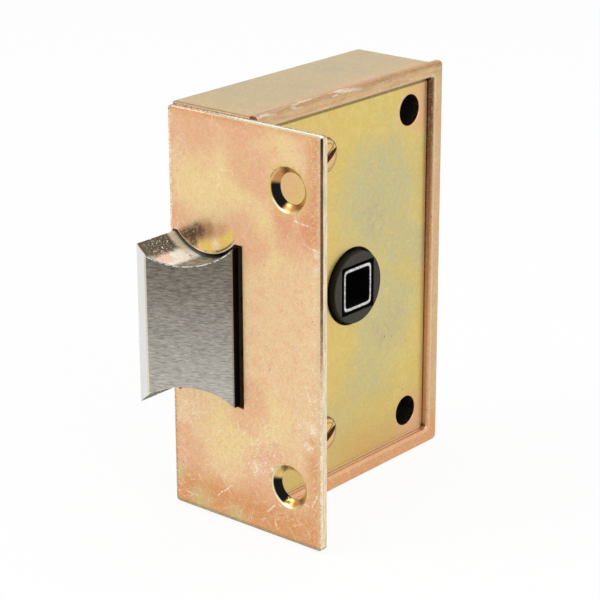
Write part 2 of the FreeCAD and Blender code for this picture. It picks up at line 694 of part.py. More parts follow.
def spindle_sleeve():
    """Square steel sleeve that grips the spindle."""
    half = s.spindle_square / 2
    outer = half + s.sleeve_wall
    span = (back_x, boss_face_x - s.sleeve_sunk)
    tube = box("sleeve_block", span, (-outer, outer), (-outer, outer))
    tube = rounded("sleeve_corners", tube, s.sleeve_round, lambda edge: runs(edge, "x"))
    bore = box("sleeve_bore", (span[0] - PAST, span[1] + PAST), (-half, half), (-half, half))
    return cut("spindle_sleeve", tube, bore)


def guide_pin(word, y):
    """Shouldered pin on which the tail slides, grooved for its clip."""
    centre = (y, -s.guide_drop)
    neck_x = tail_low_x - s.tail_play
    clip_x = tail_high_x + s.tail_play
    end_x = clip_x + s.clip_thick + s.pin_end
    return fuse(
        f"guide_pin_{word}",
        rod(f"guide_{word}_spigot", "x", (back_x, floor_x), centre, s.rivet_diameter / 2),
        rod(f"guide_{word}_shoulder", "x", (floor_x, neck_x), centre, s.guide_shoulder / 2),
        rod(f"guide_{word}_neck", "x", (neck_x, clip_x), centre, s.guide_neck / 2),
        rod(f"guide_{word}_groove", "x", (clip_x, clip_x + s.clip_thick), centre, s.clip_groove / 2),
        rod(f"guide_{word}_end", "x", (clip_x + s.clip_thick, end_x), centre, s.guide_neck / 2),
    )


def guide_pin_clips():
    """Two open spring clips in the grooves of the guide pins."""
    clips = []
    low = tail_high_x + s.tail_play
    span = (low, low + s.clip_thick)
    deep = (low - PAST, low + s.clip_thick + PAST)
    for word, y in (("front", -s.guide_front), ("rear", s.guide_rear)):
        centre = (y, -s.guide_drop)
        ring = rod(f"clip_{word}_disc", "x", span, centre, s.clip_diameter / 2)
        bore = rod(f"clip_{word}_bore", "x", deep, centre, s.clip_groove / 2)
        half = s.clip_groove / 2
        mouth = box(f"clip_{word}_mouth", deep, (y - half, y + half), (-s.guide_drop - s.clip_diameter, -s.guide_drop))
        clips.append(cut(f"clip_{word}", ring, bore, mouth))
    return group("guide_pin_clips", *clips)


def follower_stop_pin():
    """Pin that the arm rests against when the bolt is out."""
    centre = (stop_pin_y, s.stop_height)
    return rod("follower_stop_pin", "x", (back_x, mid_x + s.arm_thick / 2), centre, s.stop_pin / 2)


def rod_bracket():
    """Bent bracket behind the spring, riveted to the back."""
    z = (s.bracket_low, s.bracket_top)
    rear_y = bracket_front_y + s.bracket_thick
    solid = fuse(
        "bracket_solid",
        box("bracket_foot_plate", (floor_x, floor_x + s.bracket_thick), (rear_y - s.bracket_foot, rear_y), z),
        box("bracket_upright", (floor_x, floor_x + s.bracket_reach), (bracket_front_y, rear_y), z),
    )
    tools = [rod("bracket_rod_hole", "y", (bracket_front_y - PAST, rear_y + PAST), (mid_x, spring_z),
                 s.rod_diameter / 2)]
    tools += [
        rod(f"bracket_foot_hole_{n}", "x", (floor_x - PAST, floor_x + s.bracket_thick + PAST), (y, spring_z),
            s.bracket_rivet / 2)
        for n, y in enumerate(bracket_rivet_ys)
    ]
    return cut("rod_bracket", solid, *tools)


def rod_bracket_rivets():
    """Two rivets that hold the bracket's foot to the back."""
    rivets = []
    head_x = floor_x + s.bracket_thick
    for n, y in enumerate(bracket_rivet_ys):
        shank = rod(f"bracket_rivet_{n}_shank", "x", (back_x, head_x), (y, spring_z), s.bracket_rivet / 2)
        head = rod(f"bracket_rivet_{n}_head", "x", (head_x, head_x + s.rivet_head_height), (y, spring_z),
                   s.rivet_head / 2)
        rivets.append(fuse(f"bracket_rivet_{n}", shank, head))
    return group("rod_bracket_rivets", *rivets)


def spring_guide_rod():
    """Rod through the spring, riveted in the bracket and sliding through the tail's tab."""
    rear_y = bracket_front_y + s.bracket_thick + s.rod_behind
    return rod("spring_guide_rod", "y", (-s.rod_front, rear_y), (mid_x, spring_z), s.rod_diameter / 2)


def latch_spring():
    """Compression spring between the tail's tab and the bracket."""
    half_wire = s.spring_wire / 2
    length = bracket_front_y - tab_rear_y - s.spring_wire
    path = doc.addObject("Part::Helix", "spring_path")
    bind(path, "Radius", s.spring_mean / 2)
    bind(path, "Height", length)
    bind(path, "Pitch", length / s.spring_turns)
    path.Placement.Rotation = TURNS["y"]
    place(path, mid_x, tab_rear_y + half_wire, spring_z)
    section = doc.addObject("Part::Circle", "spring_section")
    bind(section, "Radius", half_wire)
    place(section, mid_x + s.spring_mean / 2, tab_rear_y + half_wire, spring_z)
    spring = doc.addObject("Part::Sweep", "latch_spring")
    spring.Sections = [section]
    spring.Spine = (path, [])
    spring.Solid = True
    spring.Frenet = True
    return spring


# Places that several pieces share
spring_z = s.spring_height
tab_rear_y = s.tail_thick - s.tab_front
push_face_y = s.push_start + s.push_gap
lug_bottom_z = s.push_radius - s.lug_below
tip_reach = flank(FLANK_STEPS)
window_top_z = root(tip_reach[0] * tip_reach[0] + tip_reach[1] * tip_reach[1]) + s.window_gap
window_rear_y = s.hub_radius + s.window_gap
window_front_y = -s.bolt_throw - s.hub_radius - s.web_gap
window_bottom_z = -s.guide_drop + s.tail_low_bar / 2
tail_top_z = window_top_z + s.tail_bar
tail_bottom_z = -s.guide_drop - s.tail_low_bar / 2
tail_rear_y = window_rear_y + s.tail_rear_bar
tail_rivet_centres = [
    (head_rear_y - s.tail_rivet_in, side * s.tail_rivet_spread / 2) for side in (1, -1)
]
arm_run_y = s.arm_root - s.arm_back
arm_run_z = s.arm_back_height - s.arm_root_height
arm_run = root(arm_run_y * arm_run_y + arm_run_z * arm_run_z)
arm_side_y = (s.stop_height - s.arm_root_height) * arm_run_y / arm_run_z - s.arm_root
stop_pin_y = arm_side_y - (s.stop_pin / 2 + s.stop_gap) * arm_run / arm_run_z
bracket_rear_y = bracket_front_y + s.bracket_thick
bracket_rivet_ys = [
    bracket_rear_y - s.bracket_foot + s.rivet_head / 2 + n * s.bracket_rivet_pitch for n in range(2)
]


def check(pieces):
    """Stops if any object failed or any piece isn't a sound solid."""
    for item in doc.Objects:
        if "Invalid" in item.State or "Error" in item.State:
            raise RuntimeError(f"{item.Name}: {item.State}")
    for item in pieces:
        if item.Shape.isNull() or not item.Shape.isValid() or not item.Shape.Solids:
            raise RuntimeError(f"{item.Name}: no sound solid")


def main():
    pieces = [
        case(), forend(), forend_studs(), forend_nuts(), cover_plate(), cover_screws(),
        cover_post("upper", 1), cover_post("lower", -1), fixing_tube("upper", 1), fixing_tube("lower", -1),
        latch_bolt(), bolt_tail(), bolt_tail_rivets(), follower(), spindle_sleeve(),
        guide_pin("front", -s.guide_front), guide_pin("rear", s.guide_rear), guide_pin_clips(),
        follower_stop_pin(), rod_bracket(), rod_bracket_rivets(), spring_guide_rod(), latch_spring(),
    ]
    doc.recompute()
    check(pieces)
    os.makedirs("parts", exist_ok=True)
    for item in pieces:
        item.Label = item.Name
        item.Shape.exportStep(f"parts/{item.Label}.step")
        print(item.Label, len(item.Shape.Solids), round(item.Shape.Volume, 1))


main()
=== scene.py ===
"""Cupboard rim latch: the dressed model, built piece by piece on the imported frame."""
import math
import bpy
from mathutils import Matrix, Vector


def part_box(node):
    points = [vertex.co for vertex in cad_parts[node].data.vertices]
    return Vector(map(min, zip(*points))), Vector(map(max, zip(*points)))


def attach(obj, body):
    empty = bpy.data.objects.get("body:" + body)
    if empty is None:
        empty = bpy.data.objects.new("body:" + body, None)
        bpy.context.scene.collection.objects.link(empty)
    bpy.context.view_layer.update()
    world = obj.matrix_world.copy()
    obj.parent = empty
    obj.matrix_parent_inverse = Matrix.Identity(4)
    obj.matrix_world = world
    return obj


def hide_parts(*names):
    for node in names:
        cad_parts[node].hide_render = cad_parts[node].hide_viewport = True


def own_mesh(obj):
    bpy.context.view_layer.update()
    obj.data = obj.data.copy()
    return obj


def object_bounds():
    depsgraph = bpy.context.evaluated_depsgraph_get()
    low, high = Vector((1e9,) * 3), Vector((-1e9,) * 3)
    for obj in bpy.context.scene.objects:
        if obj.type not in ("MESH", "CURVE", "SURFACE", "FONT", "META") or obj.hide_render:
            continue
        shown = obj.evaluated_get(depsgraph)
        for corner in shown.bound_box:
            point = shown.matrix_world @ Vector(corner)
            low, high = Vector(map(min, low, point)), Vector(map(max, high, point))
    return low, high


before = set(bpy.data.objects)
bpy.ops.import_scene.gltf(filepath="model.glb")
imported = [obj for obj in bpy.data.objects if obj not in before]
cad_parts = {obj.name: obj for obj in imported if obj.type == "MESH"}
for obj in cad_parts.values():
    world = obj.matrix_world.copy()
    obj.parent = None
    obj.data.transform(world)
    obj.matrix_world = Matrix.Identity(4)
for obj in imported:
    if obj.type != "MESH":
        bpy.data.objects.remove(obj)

from types import SimpleNamespace

import bmesh
import bpy
from bpy.props import FloatProperty, FloatVectorProperty, IntProperty, PointerProperty
from mathutils import Matrix, Vector
from mathutils.geometry import delaunay_2d_cdt

bl_info = {
    "name": "Rim latch",
    "version": (1, 0, 0),
    "blender": (4, 5, 0),
    "location": "View3D > Sidebar > Rim latch",
    "description": "Builds the visible pieces, finishes and stage of a cupboard rim latch",
    "category": "Object",
}

MM = 0.001
CAD_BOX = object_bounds()
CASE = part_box("case")
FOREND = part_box("forend")
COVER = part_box("cover_plate")
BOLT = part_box("latch_bolt")
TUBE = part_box("fixing_tube_upper")
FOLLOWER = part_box("follower")
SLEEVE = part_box("spindle_sleeve")
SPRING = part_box("latch_spring")
BOLT_MIDDLE = (BOLT[0][0] + BOLT[1][0]) / 2

# Riveted ends in the case's back as places in y and z, the forend's studs, and small fixed sizes
PIN_ENDS = ((-13.3 * MM, -17.0 * MM), (8.0 * MM, -17.0 * MM), (-7.1 * MM, 15.5 * MM))
BRACKET_RIVETS = ((17.6 * MM, 27.0 * MM), (11.6 * MM, 27.0 * MM))
STUD_HEIGHT = 31.0 * MM
PIN_RADIUS = 2.0 * MM
RIVET_RADIUS = 1.5 * MM
TUBE_WALL = 1.45 * MM
TUBE_SPIGOT = 0.75 * MM
FLOOR_FILLET = 0.7 * MM
THREAD_PITCH = 0.7 * MM
THREAD_DEPTH = 0.045    # as a share of the radius


def tint(red, green, blue):
    """A colour as read from a screen, as linear red, green and blue."""
    shares = (red / 255, green / 255, blue / 255)
    return tuple(c / 12.92 if c <= 0.04 else ((c + 0.055) / 1.055) ** 2.4 for c in shares)


def length(name, words, millimetres):
    return FloatProperty(name=name, description=words, default=millimetres * MM, unit="LENGTH", precision=5)


def colour(name, words, *default):
    return FloatVectorProperty(
        name=name, description=words, default=tint(*default), subtype="COLOR", min=0, max=1)


# Sizes and colours that a user may change

class LatchSizes(bpy.types.PropertyGroup):
    """Sizes of the visible pieces."""
    sheet: length("Sheet", "Thickness of the case's sheet", 1.5)
    case_corner: length("Case corner", "Radius of the case's rear corners", 2.2)
    front_corner: length("Front corner", "Radius of the case's front corners", 0.6)
    back_edge: length("Back edge", "Rounding of the pressed back's edges", 0.9)
    rim_flare: length("Rim flare", "How far the rim stands out past the walls", 0.45)
    rim_width: length("Rim width", "Width of the rim's face", 3.55)
    rim_lip: length("Rim lip", "Thickness of the flared lip", 1.4)
    rim_edge: length("Rim edge", "Rounding of the rim's outer edge", 0.42)
    mouth_edge: length("Mouth edge", "Rounding of the rim's edge round the mouth", 0.9)
    mouth_corner: length("Mouth corner", "Radius of the mouth's rear corners", 0.9)
    rim_corner: length("Rim corner", "Radius of the rim's rear corners", 1.3)
    rim_bulge: length("Rim bulge", "How far the rim's face is domed", 0.12)
    rim_roll: length("Rim roll", "Depth to which the rim is rolled in", 4.2)
    rim_gap: length("Rim gap", "Gap between the rim's ends and the forend", 0.9)
    front_wall_top: length("Front wall", "How far the front wall's top lies below the rim", 3.1)
    flare_start: length("Flare start", "Forend's back to the start of the rim's flare", 5.0)
    flare_run: length("Flare run", "Length over which the flare grows", 10.0)
    forend_corner: length("Forend corner", "Corner radius of the forend", 0.9)
    forend_edge: length("Forend edge", "Rounding of the forend's edges", 0.28)
    forend_hole: length("Forend hole", "Radius of the forend's screw holes", 3.4)
    forend_sink: length("Countersink", "Radius of the countersinks at the surface", 4.95)
    forend_hole_x: length("Forend hole line", "Rim to the line of the forend's screw holes", 10.4)
    forend_hole_z: length("Forend hole height", "Middle to the forend's screw holes", 33.0)
    cover_corner: length("Cover corner", "Radius of the cover's rear corners", 1.2)
    cover_edge: length("Cover edge", "Rounding of the cover's edges", 0.22)
    boss_hole: length("Boss hole", "Radius of the cover's hole round the follower", 8.95)
    fixing_hole: length("Fixing hole", "Radius of the through holes", 3.55)
    fixing_y: length("Fixing hole place", "Spindle back to the through holes", 20.15)
    fixing_z: length("Fixing hole height", "Middle to the through holes", 36.5)
    screw_y: length("Screw place", "Spindle to the cover screws, towards the rear", -10.3)
    screw_z: length("Screw height", "Middle to the cover screws", 32.5)
    screw_head: length("Screw head", "Radius of the cover screws' heads", 3.9)
    cover_grown: length("Cover overreach", "How far the sheet reaches on above and below", 0.4)
    screw_dome: length("Screw dome", "Height of the cover screws' heads", 1.5)
    screw_slot: length("Screw slot", "Width of the screwdriver slot", 1.5)
    screw_slot_depth: length("Slot depth", "Depth of the screwdriver slot", 0.8)
    screw_turn: FloatProperty(
        name="Slot turn", description="Rise of the screws' slots towards the rear", default=math.radians(31),
        subtype="ANGLE")
    screw_shank: length("Screw shank", "Radius of the cover screws' threads", 2.0)
    screw_length: length("Screw length", "Length of the cover screws below the head", 7.0)
    hollow: length("Hollow radius", "Radius of the hollow in the bolt's top and underside", 12.0)
    hollow_depth: length("Hollow depth", "Depth of that hollow", 4.2)
    nose_flat: length("Nose", "Width of the bolt's flat nose", 2.05)
    bevel_stop: length("Bevel stop", "Straight side left between bevel and forend", 1.6)
    bolt_edge: length("Bolt edge", "Rounding of the bolt's edges", 0.16)
    slot_gap: length("Slot gap", "Gap round the bolt in the forend's slot", 0.35)
    slot_bulge: length("Slot bulge gap", "Gap between the bolt's hollows and the forend", 0.95)
    slot_side: length("Slot side gap", "Gap beside the bolt on the door's side", 1.15)
    tail_thick: length("Tail thickness", "Thickness of the tail plate", 3.0)
    tongue_length: length("Tongue length", "Reach of the tail's tongue into the bolt", 10.5)
    tongue_half: length("Tongue height", "Half the height of the tongue", 10.0)
    tail_rivet: length("Tail rivet", "Radius of the rivets through bolt and tail", 1.5)
    boss: length("Boss", "Radius of the follower's boss", 8.35)
    boss_edge: length("Boss edge", "Rounding of the boss's edge", 0.35)
    hub: length("Hub", "Radius of the follower's hub", 10.0)
    journal: length("Journal", "Radius of the follower's rear journal", 8.0)
    pocket: length("Pocket", "Half the side of the recess round the sleeve", 5.7)
    pocket_depth: length("Pocket depth", "Depth of that recess", 1.5)
    sleeve_outer: length("Sleeve", "Half the outer side of the square sleeve", 5.0)
    sleeve_inner: length("Spindle square", "Half the side of the spindle's square", 4.0)
    sleeve_corner: length("Sleeve corner", "Outer corner radius of the sleeve", 0.9)
    spring_wire: length("Spring wire", "Thickness of the latch spring's wire", 0.9)
    spring_turns: IntProperty(
        name="Spring turns", description="Turns of the latch spring, two of them closed", default=11, min=4)
    throw: length("Throw", "How far the bolt slides in", 11.6)


class LatchColours(bpy.types.PropertyGroup):
    """Colours of the finishes."""
    cream: colour("Plating, cream", "Main colour of the forend's passivated zinc", 236, 201, 156)
    pink: colour("Plating, pink", "Pink clouds of the passivated zinc", 230, 178, 138)
    orange: colour("Plating, orange", "Orange tint near edges", 215, 147, 94)
    yellow: colour("Plating, yellow", "Yellow clouds of the passivated zinc", 238, 214, 150)
    straw: colour("Plating, straw", "Main colour of the cover", 219, 194, 112)
    green: colour("Plating, green", "Green-grey clouds of the cover", 190, 187, 146)
    tan: colour("Plating, tan", "Main colour of the case", 193, 173, 124)
    violet: colour("Plating, violet", "Violet-grey clouds of the case", 184, 163, 136)
    rose: colour("Plating, rose", "Pink flecks of the passivated zinc", 226, 160, 132)
    lemon: colour("Plating, lemon", "Yellow flecks of the passivated zinc", 226, 208, 132)
    # Brass is also laid on the forend as a painted reflection of the bolt beside the upper hollow.
    brass: colour("Plating, brass", "Strong yellow by the bolt", 232, 206, 96)
    gold: colour("Plating, gold", "Clear gold of countersinks and screws", 222, 190, 112)
    # Recess is painted shade: it darkens the rim's mouth, creases, outlines, slot walls and dark reflections.
    recess: colour("Recess", "Dull brown in the rim's mouth", 74, 48, 40)
    # Used for real specks and pits, and as painted shade along gaps, corners and the bolt's side.
    dirt_and_shade: colour("Dirt", "Dark specks and pits", 66, 50, 36)
    # Scratch is also laid as a painted highlight on bends, ledges and the edges of the cover and the bolt's
    # nose.
    scratch: colour("Scratch", "Pale scratches and worn edges", 252, 240, 218)
    # On the bolt, steel and steel_dark are lit and shaded copies: painted shade makes the upper half darker.
    steel: colour("Steel", "Bare ground steel, lower half", 182, 177, 169)
    steel_dark: colour("Steel, dark", "Ground steel, upper half", 112, 105, 94)
    # White is painted glare: highlights on edges and painted reflections in the bolt's hollows.
    white: colour("Worn white", "Glare on worn edges", 255, 252, 244)
    bright: colour("Steel, bright", "Bright zinc", 228, 226, 224)
    nylon: colour("Nylon", "Charcoal nylon of the follower", 50, 48, 43)
    # Painted shade in black for bores, gaps and edges, and painted dark reflections in the countersinks.
    shade_black: colour("Soot", "Unlit bores and gaps", 8, 8, 7)
    spring: colour("Spring", "Drawn spring wire", 120, 116, 112)


def sizes():
    return bpy.context.scene.latch_sizes


def colours():
    return bpy.context.scene.latch_colours


def hollow_centre():
    """Height of the axis of the bolt's upper hollow."""
    return BOLT[1][2] - sizes().hollow_depth + sizes().hollow


class Millimetres:
    """The lengths that a user may change, in millimetres."""

    def __getattr__(self, name):
        return getattr(sizes(), name) / MM


# Node trees written as expressions

class Wire:
    """The output of a node, on which sums are written as Python expressions."""

    def __init__(self, graph, socket):
        self.graph = graph
        self.socket = socket

    def maths(self, operation, first, second=None):
        values = {0: first} if second is None else {0: first, 1: second}
        return self.graph.node("ShaderNodeMath", {"operation": operation}, values)

    def __add__(self, other):
        return self.maths("ADD", self, other)

    def __sub__(self, other):
        return self.maths("SUBTRACT", self, other)

    def __rsub__(self, other):
        return self.maths("SUBTRACT", other, self)

    def __mul__(self, other):
        return self.maths("MULTIPLY", self, other)

    def __truediv__(self, other):
        return self.maths("DIVIDE", self, other)

    def __pow__(self, other):
        return self.maths("POWER", self, other)

    def larger(self, other):
        return self.maths("MAXIMUM", self, other)

    def smaller(self, other):
        return self.maths("MINIMUM", self, other)

    def size(self):
        return self.maths("ABSOLUTE", self)

    def sine(self):
        return self.maths("SINE", self)

    def between(self, low, high):
        """0 at low and 1 at high, with a soft start and end; low may be the larger."""
        return self.graph.node("ShaderNodeMapRange", {"interpolation_type": "SMOOTHSTEP"},
                               {"Value": self, "From Min": low, "From Max": high})


def highest(*masks):
    total = masks[0]
    for mask in masks[1:]:
        total = total.larger(mask)
    return total


class Graph:
    """A node tree under construction."""

    def __init__(self, tree):
        self.tree = tree
        tree.nodes.clear()

    def node(self, kind, settings=None, values=None, outlet=0):
        """Adds a node: its settings first, then its sockets' values or links. Gives one of its outputs."""
        node = self.tree.nodes.new(kind)
        for name, setting in (settings or {}).items():
            setattr(node, name, setting)
        for key, value in (values or {}).items():
            socket = self.find(node.inputs, key)
            for item in value if isinstance(value, list) else [value]:
                if isinstance(item, Wire):
                    self.tree.links.new(item.socket, socket)
                else:
                    socket.default_value = item
        return Wire(self, self.find(node.outputs, outlet))

    def end(self, kind, wire):
        """Leads a wire into the tree's output node."""
        self.tree.links.new(wire.socket, self.tree.nodes.new(kind).inputs[0])

    def split(self, vector):
        """The x, y and z of a vector."""
        parts = self.node("ShaderNodeSeparateXYZ", {}, {0: vector}).socket.node
        return [Wire(self, socket) for socket in parts.outputs]

    @staticmethod
    def find(sockets, key):
        if isinstance(key, int):
            return sockets[key]
        for socket in sockets:
            if socket.identifier == key:
                return socket
        return sockets[key]


# Finishes

class Paint(Graph):
    """A finish under construction, with one shader and patterns that are laid out in millimetres."""

    def __init__(self, name, metallic=0.0, roughness=0.5, specular=0.5):
        self.material = bpy.data.materials.new(name)
        self.material.use_nodes = True
        super().__init__(self.material.node_tree)
        self.shader = self.tree.nodes.new("ShaderNodeBsdfPrincipled")
        self.shader.inputs["Metallic"].default_value = metallic
        self.shader.inputs["Roughness"].default_value = roughness
        self.shader.inputs["Specular IOR Level"].default_value = specular
        self.end("ShaderNodeOutputMaterial", Wire(self, self.shader.outputs[0]))
        place = self.node("ShaderNodeTexCoord", outlet="Object")
        self.place = self.shade(place, 1 / MM)
        self.axes = self.split(self.place)

    def moved(self, stretch=(1, 1, 1), turn=None, shift=(0, 0, 0)):
        """The place, first turned, then stretched and shifted."""
        place = self.place
        if turn is not None:
            turn = tuple(math.radians(angle) for angle in turn)
            place = self.node("ShaderNodeMapping", {}, {"Vector": place, "Rotation": turn})
        return self.node("ShaderNodeMapping", {}, {"Vector": place, "Scale": stretch, "Location": shift})

    def noise(self, grain, detail=3.0, roughness=0.55, distortion=0.0, **move):
        """Cloudy noise from 0 to 1 with a given grain in millimetres."""
        return self.node("ShaderNodeTexNoise", {}, {
            "Vector": self.moved(**move), "Scale": 1 / grain, "Detail": detail, "Roughness": roughness,
            "Distortion": distortion,
        })

    def specks(self, grain, radius, shift):
        """1 in small round specks that lie about a grain apart, 0 elsewhere."""
        place = self.moved(shift=shift)
        distance = self.node("ShaderNodeTexVoronoi", {}, {"Vector": place, "Scale": 1 / grain}, "Distance")
        return distance.between(radius, radius * 0.6)

    def hairs(self, width, turn, share=0.06, seed=0.0, axis="XZ", run=14.0):
        """1 along fine straight scratches in one direction, 0 elsewhere."""
        stretch = {"XZ": (1 / run, 1, 1), "YZ": (1, 1 / run, 1)}[axis]
        turns = {"XZ": (0, turn, 0), "YZ": (turn, 0, 0)}[axis]
        shift = (seed, seed * 1.7, seed * 2.3)
        field = self.noise(width, detail=1.0, turn=turns, stretch=stretch, shift=shift)
        return field.between(0.80 - share, 0.83 - share * 0.6)

    def nicks(self, axis, share, turns):
        """1 along short straight scratches, given by their turns and runs."""
        return highest(*(self.hairs(0.26, turn, share=share, seed=seed * 3.7, axis=axis, run=run)
                         for seed, (turn, run) in enumerate(turns)))

    def curls(self, grain, width, seed, share=0.5):
        """1 along thin curved scratches, broken into runs; share says how much of each is left."""
        field = self.noise(grain, detail=0.5, distortion=0.6, shift=(seed, seed * 1.3, seed * 2.1))
        runs = self.noise(grain * 0.7, detail=1.0, shift=(seed * 3.1, seed, 4.0))
        runs = runs.between(0.62 - share * 0.2, 0.66 - share * 0.2)
        return (field - 0.5).size().between(width, width * 0.5) * runs

    def stroke(self, start, end, width, waver):
        """1 along a scratch between two places given in x and z."""
        run = math.hypot(end[0] - start[0], end[1] - start[1])
        u, v = (end[0] - start[0]) / run, (end[1] - start[1]) / run
        x, _, z = self.axes
        along = (x - start[0]) * u + (z - start[1]) * v
        across = ((z - start[1]) * u - (x - start[0]) * v + waver).size()
        ends = along.between(-0.2, 0.4) * (along * -1 + run).between(-0.2, 0.4)
        return across.between(width, width * 0.4) * ends

    def near(self, radius, x=None, y=None, z=None):
        """Distance from a line through the given two places, in millimetres, less a radius."""
        total = None
        for wire, at in zip(self.axes, (x, y, z)):
            if at is not None:
                square = (wire - at) * (wire - at)
                total = square if total is None else total + square
        return total ** 0.5 - radius

    def near_pair(self, radius, z, **centre):
        """Distance from the nearer of two lines, one at z and one at -z, less a radius."""
        return self.near(radius, z=z, **centre).smaller(self.near(radius, z=-z, **centre))

    def spot(self, radius, soft, wander, **centre):
        """1 within a radius of a place, with a wandering soft edge."""
        return (self.near(0, **centre) + wander).between(radius + soft, radius)

    def spots(self, wander, *rows, axes="xz"):
        """1 round each of several places: rows of radius, softness, two coordinates and maybe a weight."""
        masks = []
        for radius, soft, first, second, *weight in rows:
            mask = self.spot(radius, soft, wander, **{axes[0]: first, axes[1]: second})
            masks.append(mask * weight[0] if weight else mask)
        return highest(*masks)

    def mix(self, mask, first, second):
        """The first colour where the mask is 0 and the second where it is 1."""
        return self.node("ShaderNodeMix", {"data_type": "RGBA"}, {
            "Factor_Float": mask, "A_Color": self.rgba(first), "B_Color": self.rgba(second),
        }, "Result_Color")

    def layers(self, base, *coats):
        """A colour with others laid over it in turn, each as its mask and its colour."""
        for mask, coat in coats:
            base = self.mix(mask, base, coat)
        return base

    def freckled(self, tone, amount):
        """Adds the millimetre-sized pink and yellow flecks of passivated zinc."""
        c = colours()
        flecks = self.noise(0.9, detail=3, roughness=0.75, distortion=0.4, shift=(8, 16, 3))
        return self.layers(tone, (flecks.between(0.5, 0.64) * amount, c.rose),
                           (flecks.between(0.5, 0.36) * amount, c.lemon))

    def shade(self, first, amount):
        """A colour or place times a factor."""
        return self.node("ShaderNodeVectorMath", {"operation": "SCALE"}, {0: first, "Scale": amount})

    @staticmethod
    def rgba(value):
        return value if isinstance(value, Wire) else (*value, 1.0)[:4]

    def feed(self, socket, wire):
        self.tree.links.new(wire.socket, self.shader.inputs[socket])

    def done(self, tone, roughness, height, strength, depth):
        """Feeds the shader its colour, roughness and relief, whose depth is in millimetres."""
        self.feed("Base Color", tone)
        self.feed("Roughness", roughness)
        self.feed("Normal", self.node("ShaderNodeBump", {}, {
            "Height": height, "Strength": strength, "Distance": depth * MM,
        }))
        return self.material


def plated(name, roughness=0.34):
    """Starts a passivated zinc finish: gives the paint, its fine mottling and its finest grain."""
    paint = Paint(name, metallic=0.8, roughness=roughness)
    fine = paint.noise(0.8, detail=4, roughness=0.7)
    grain = paint.noise(0.3, detail=2, roughness=0.8, shift=(5, 3, 1))
    return paint, fine, grain


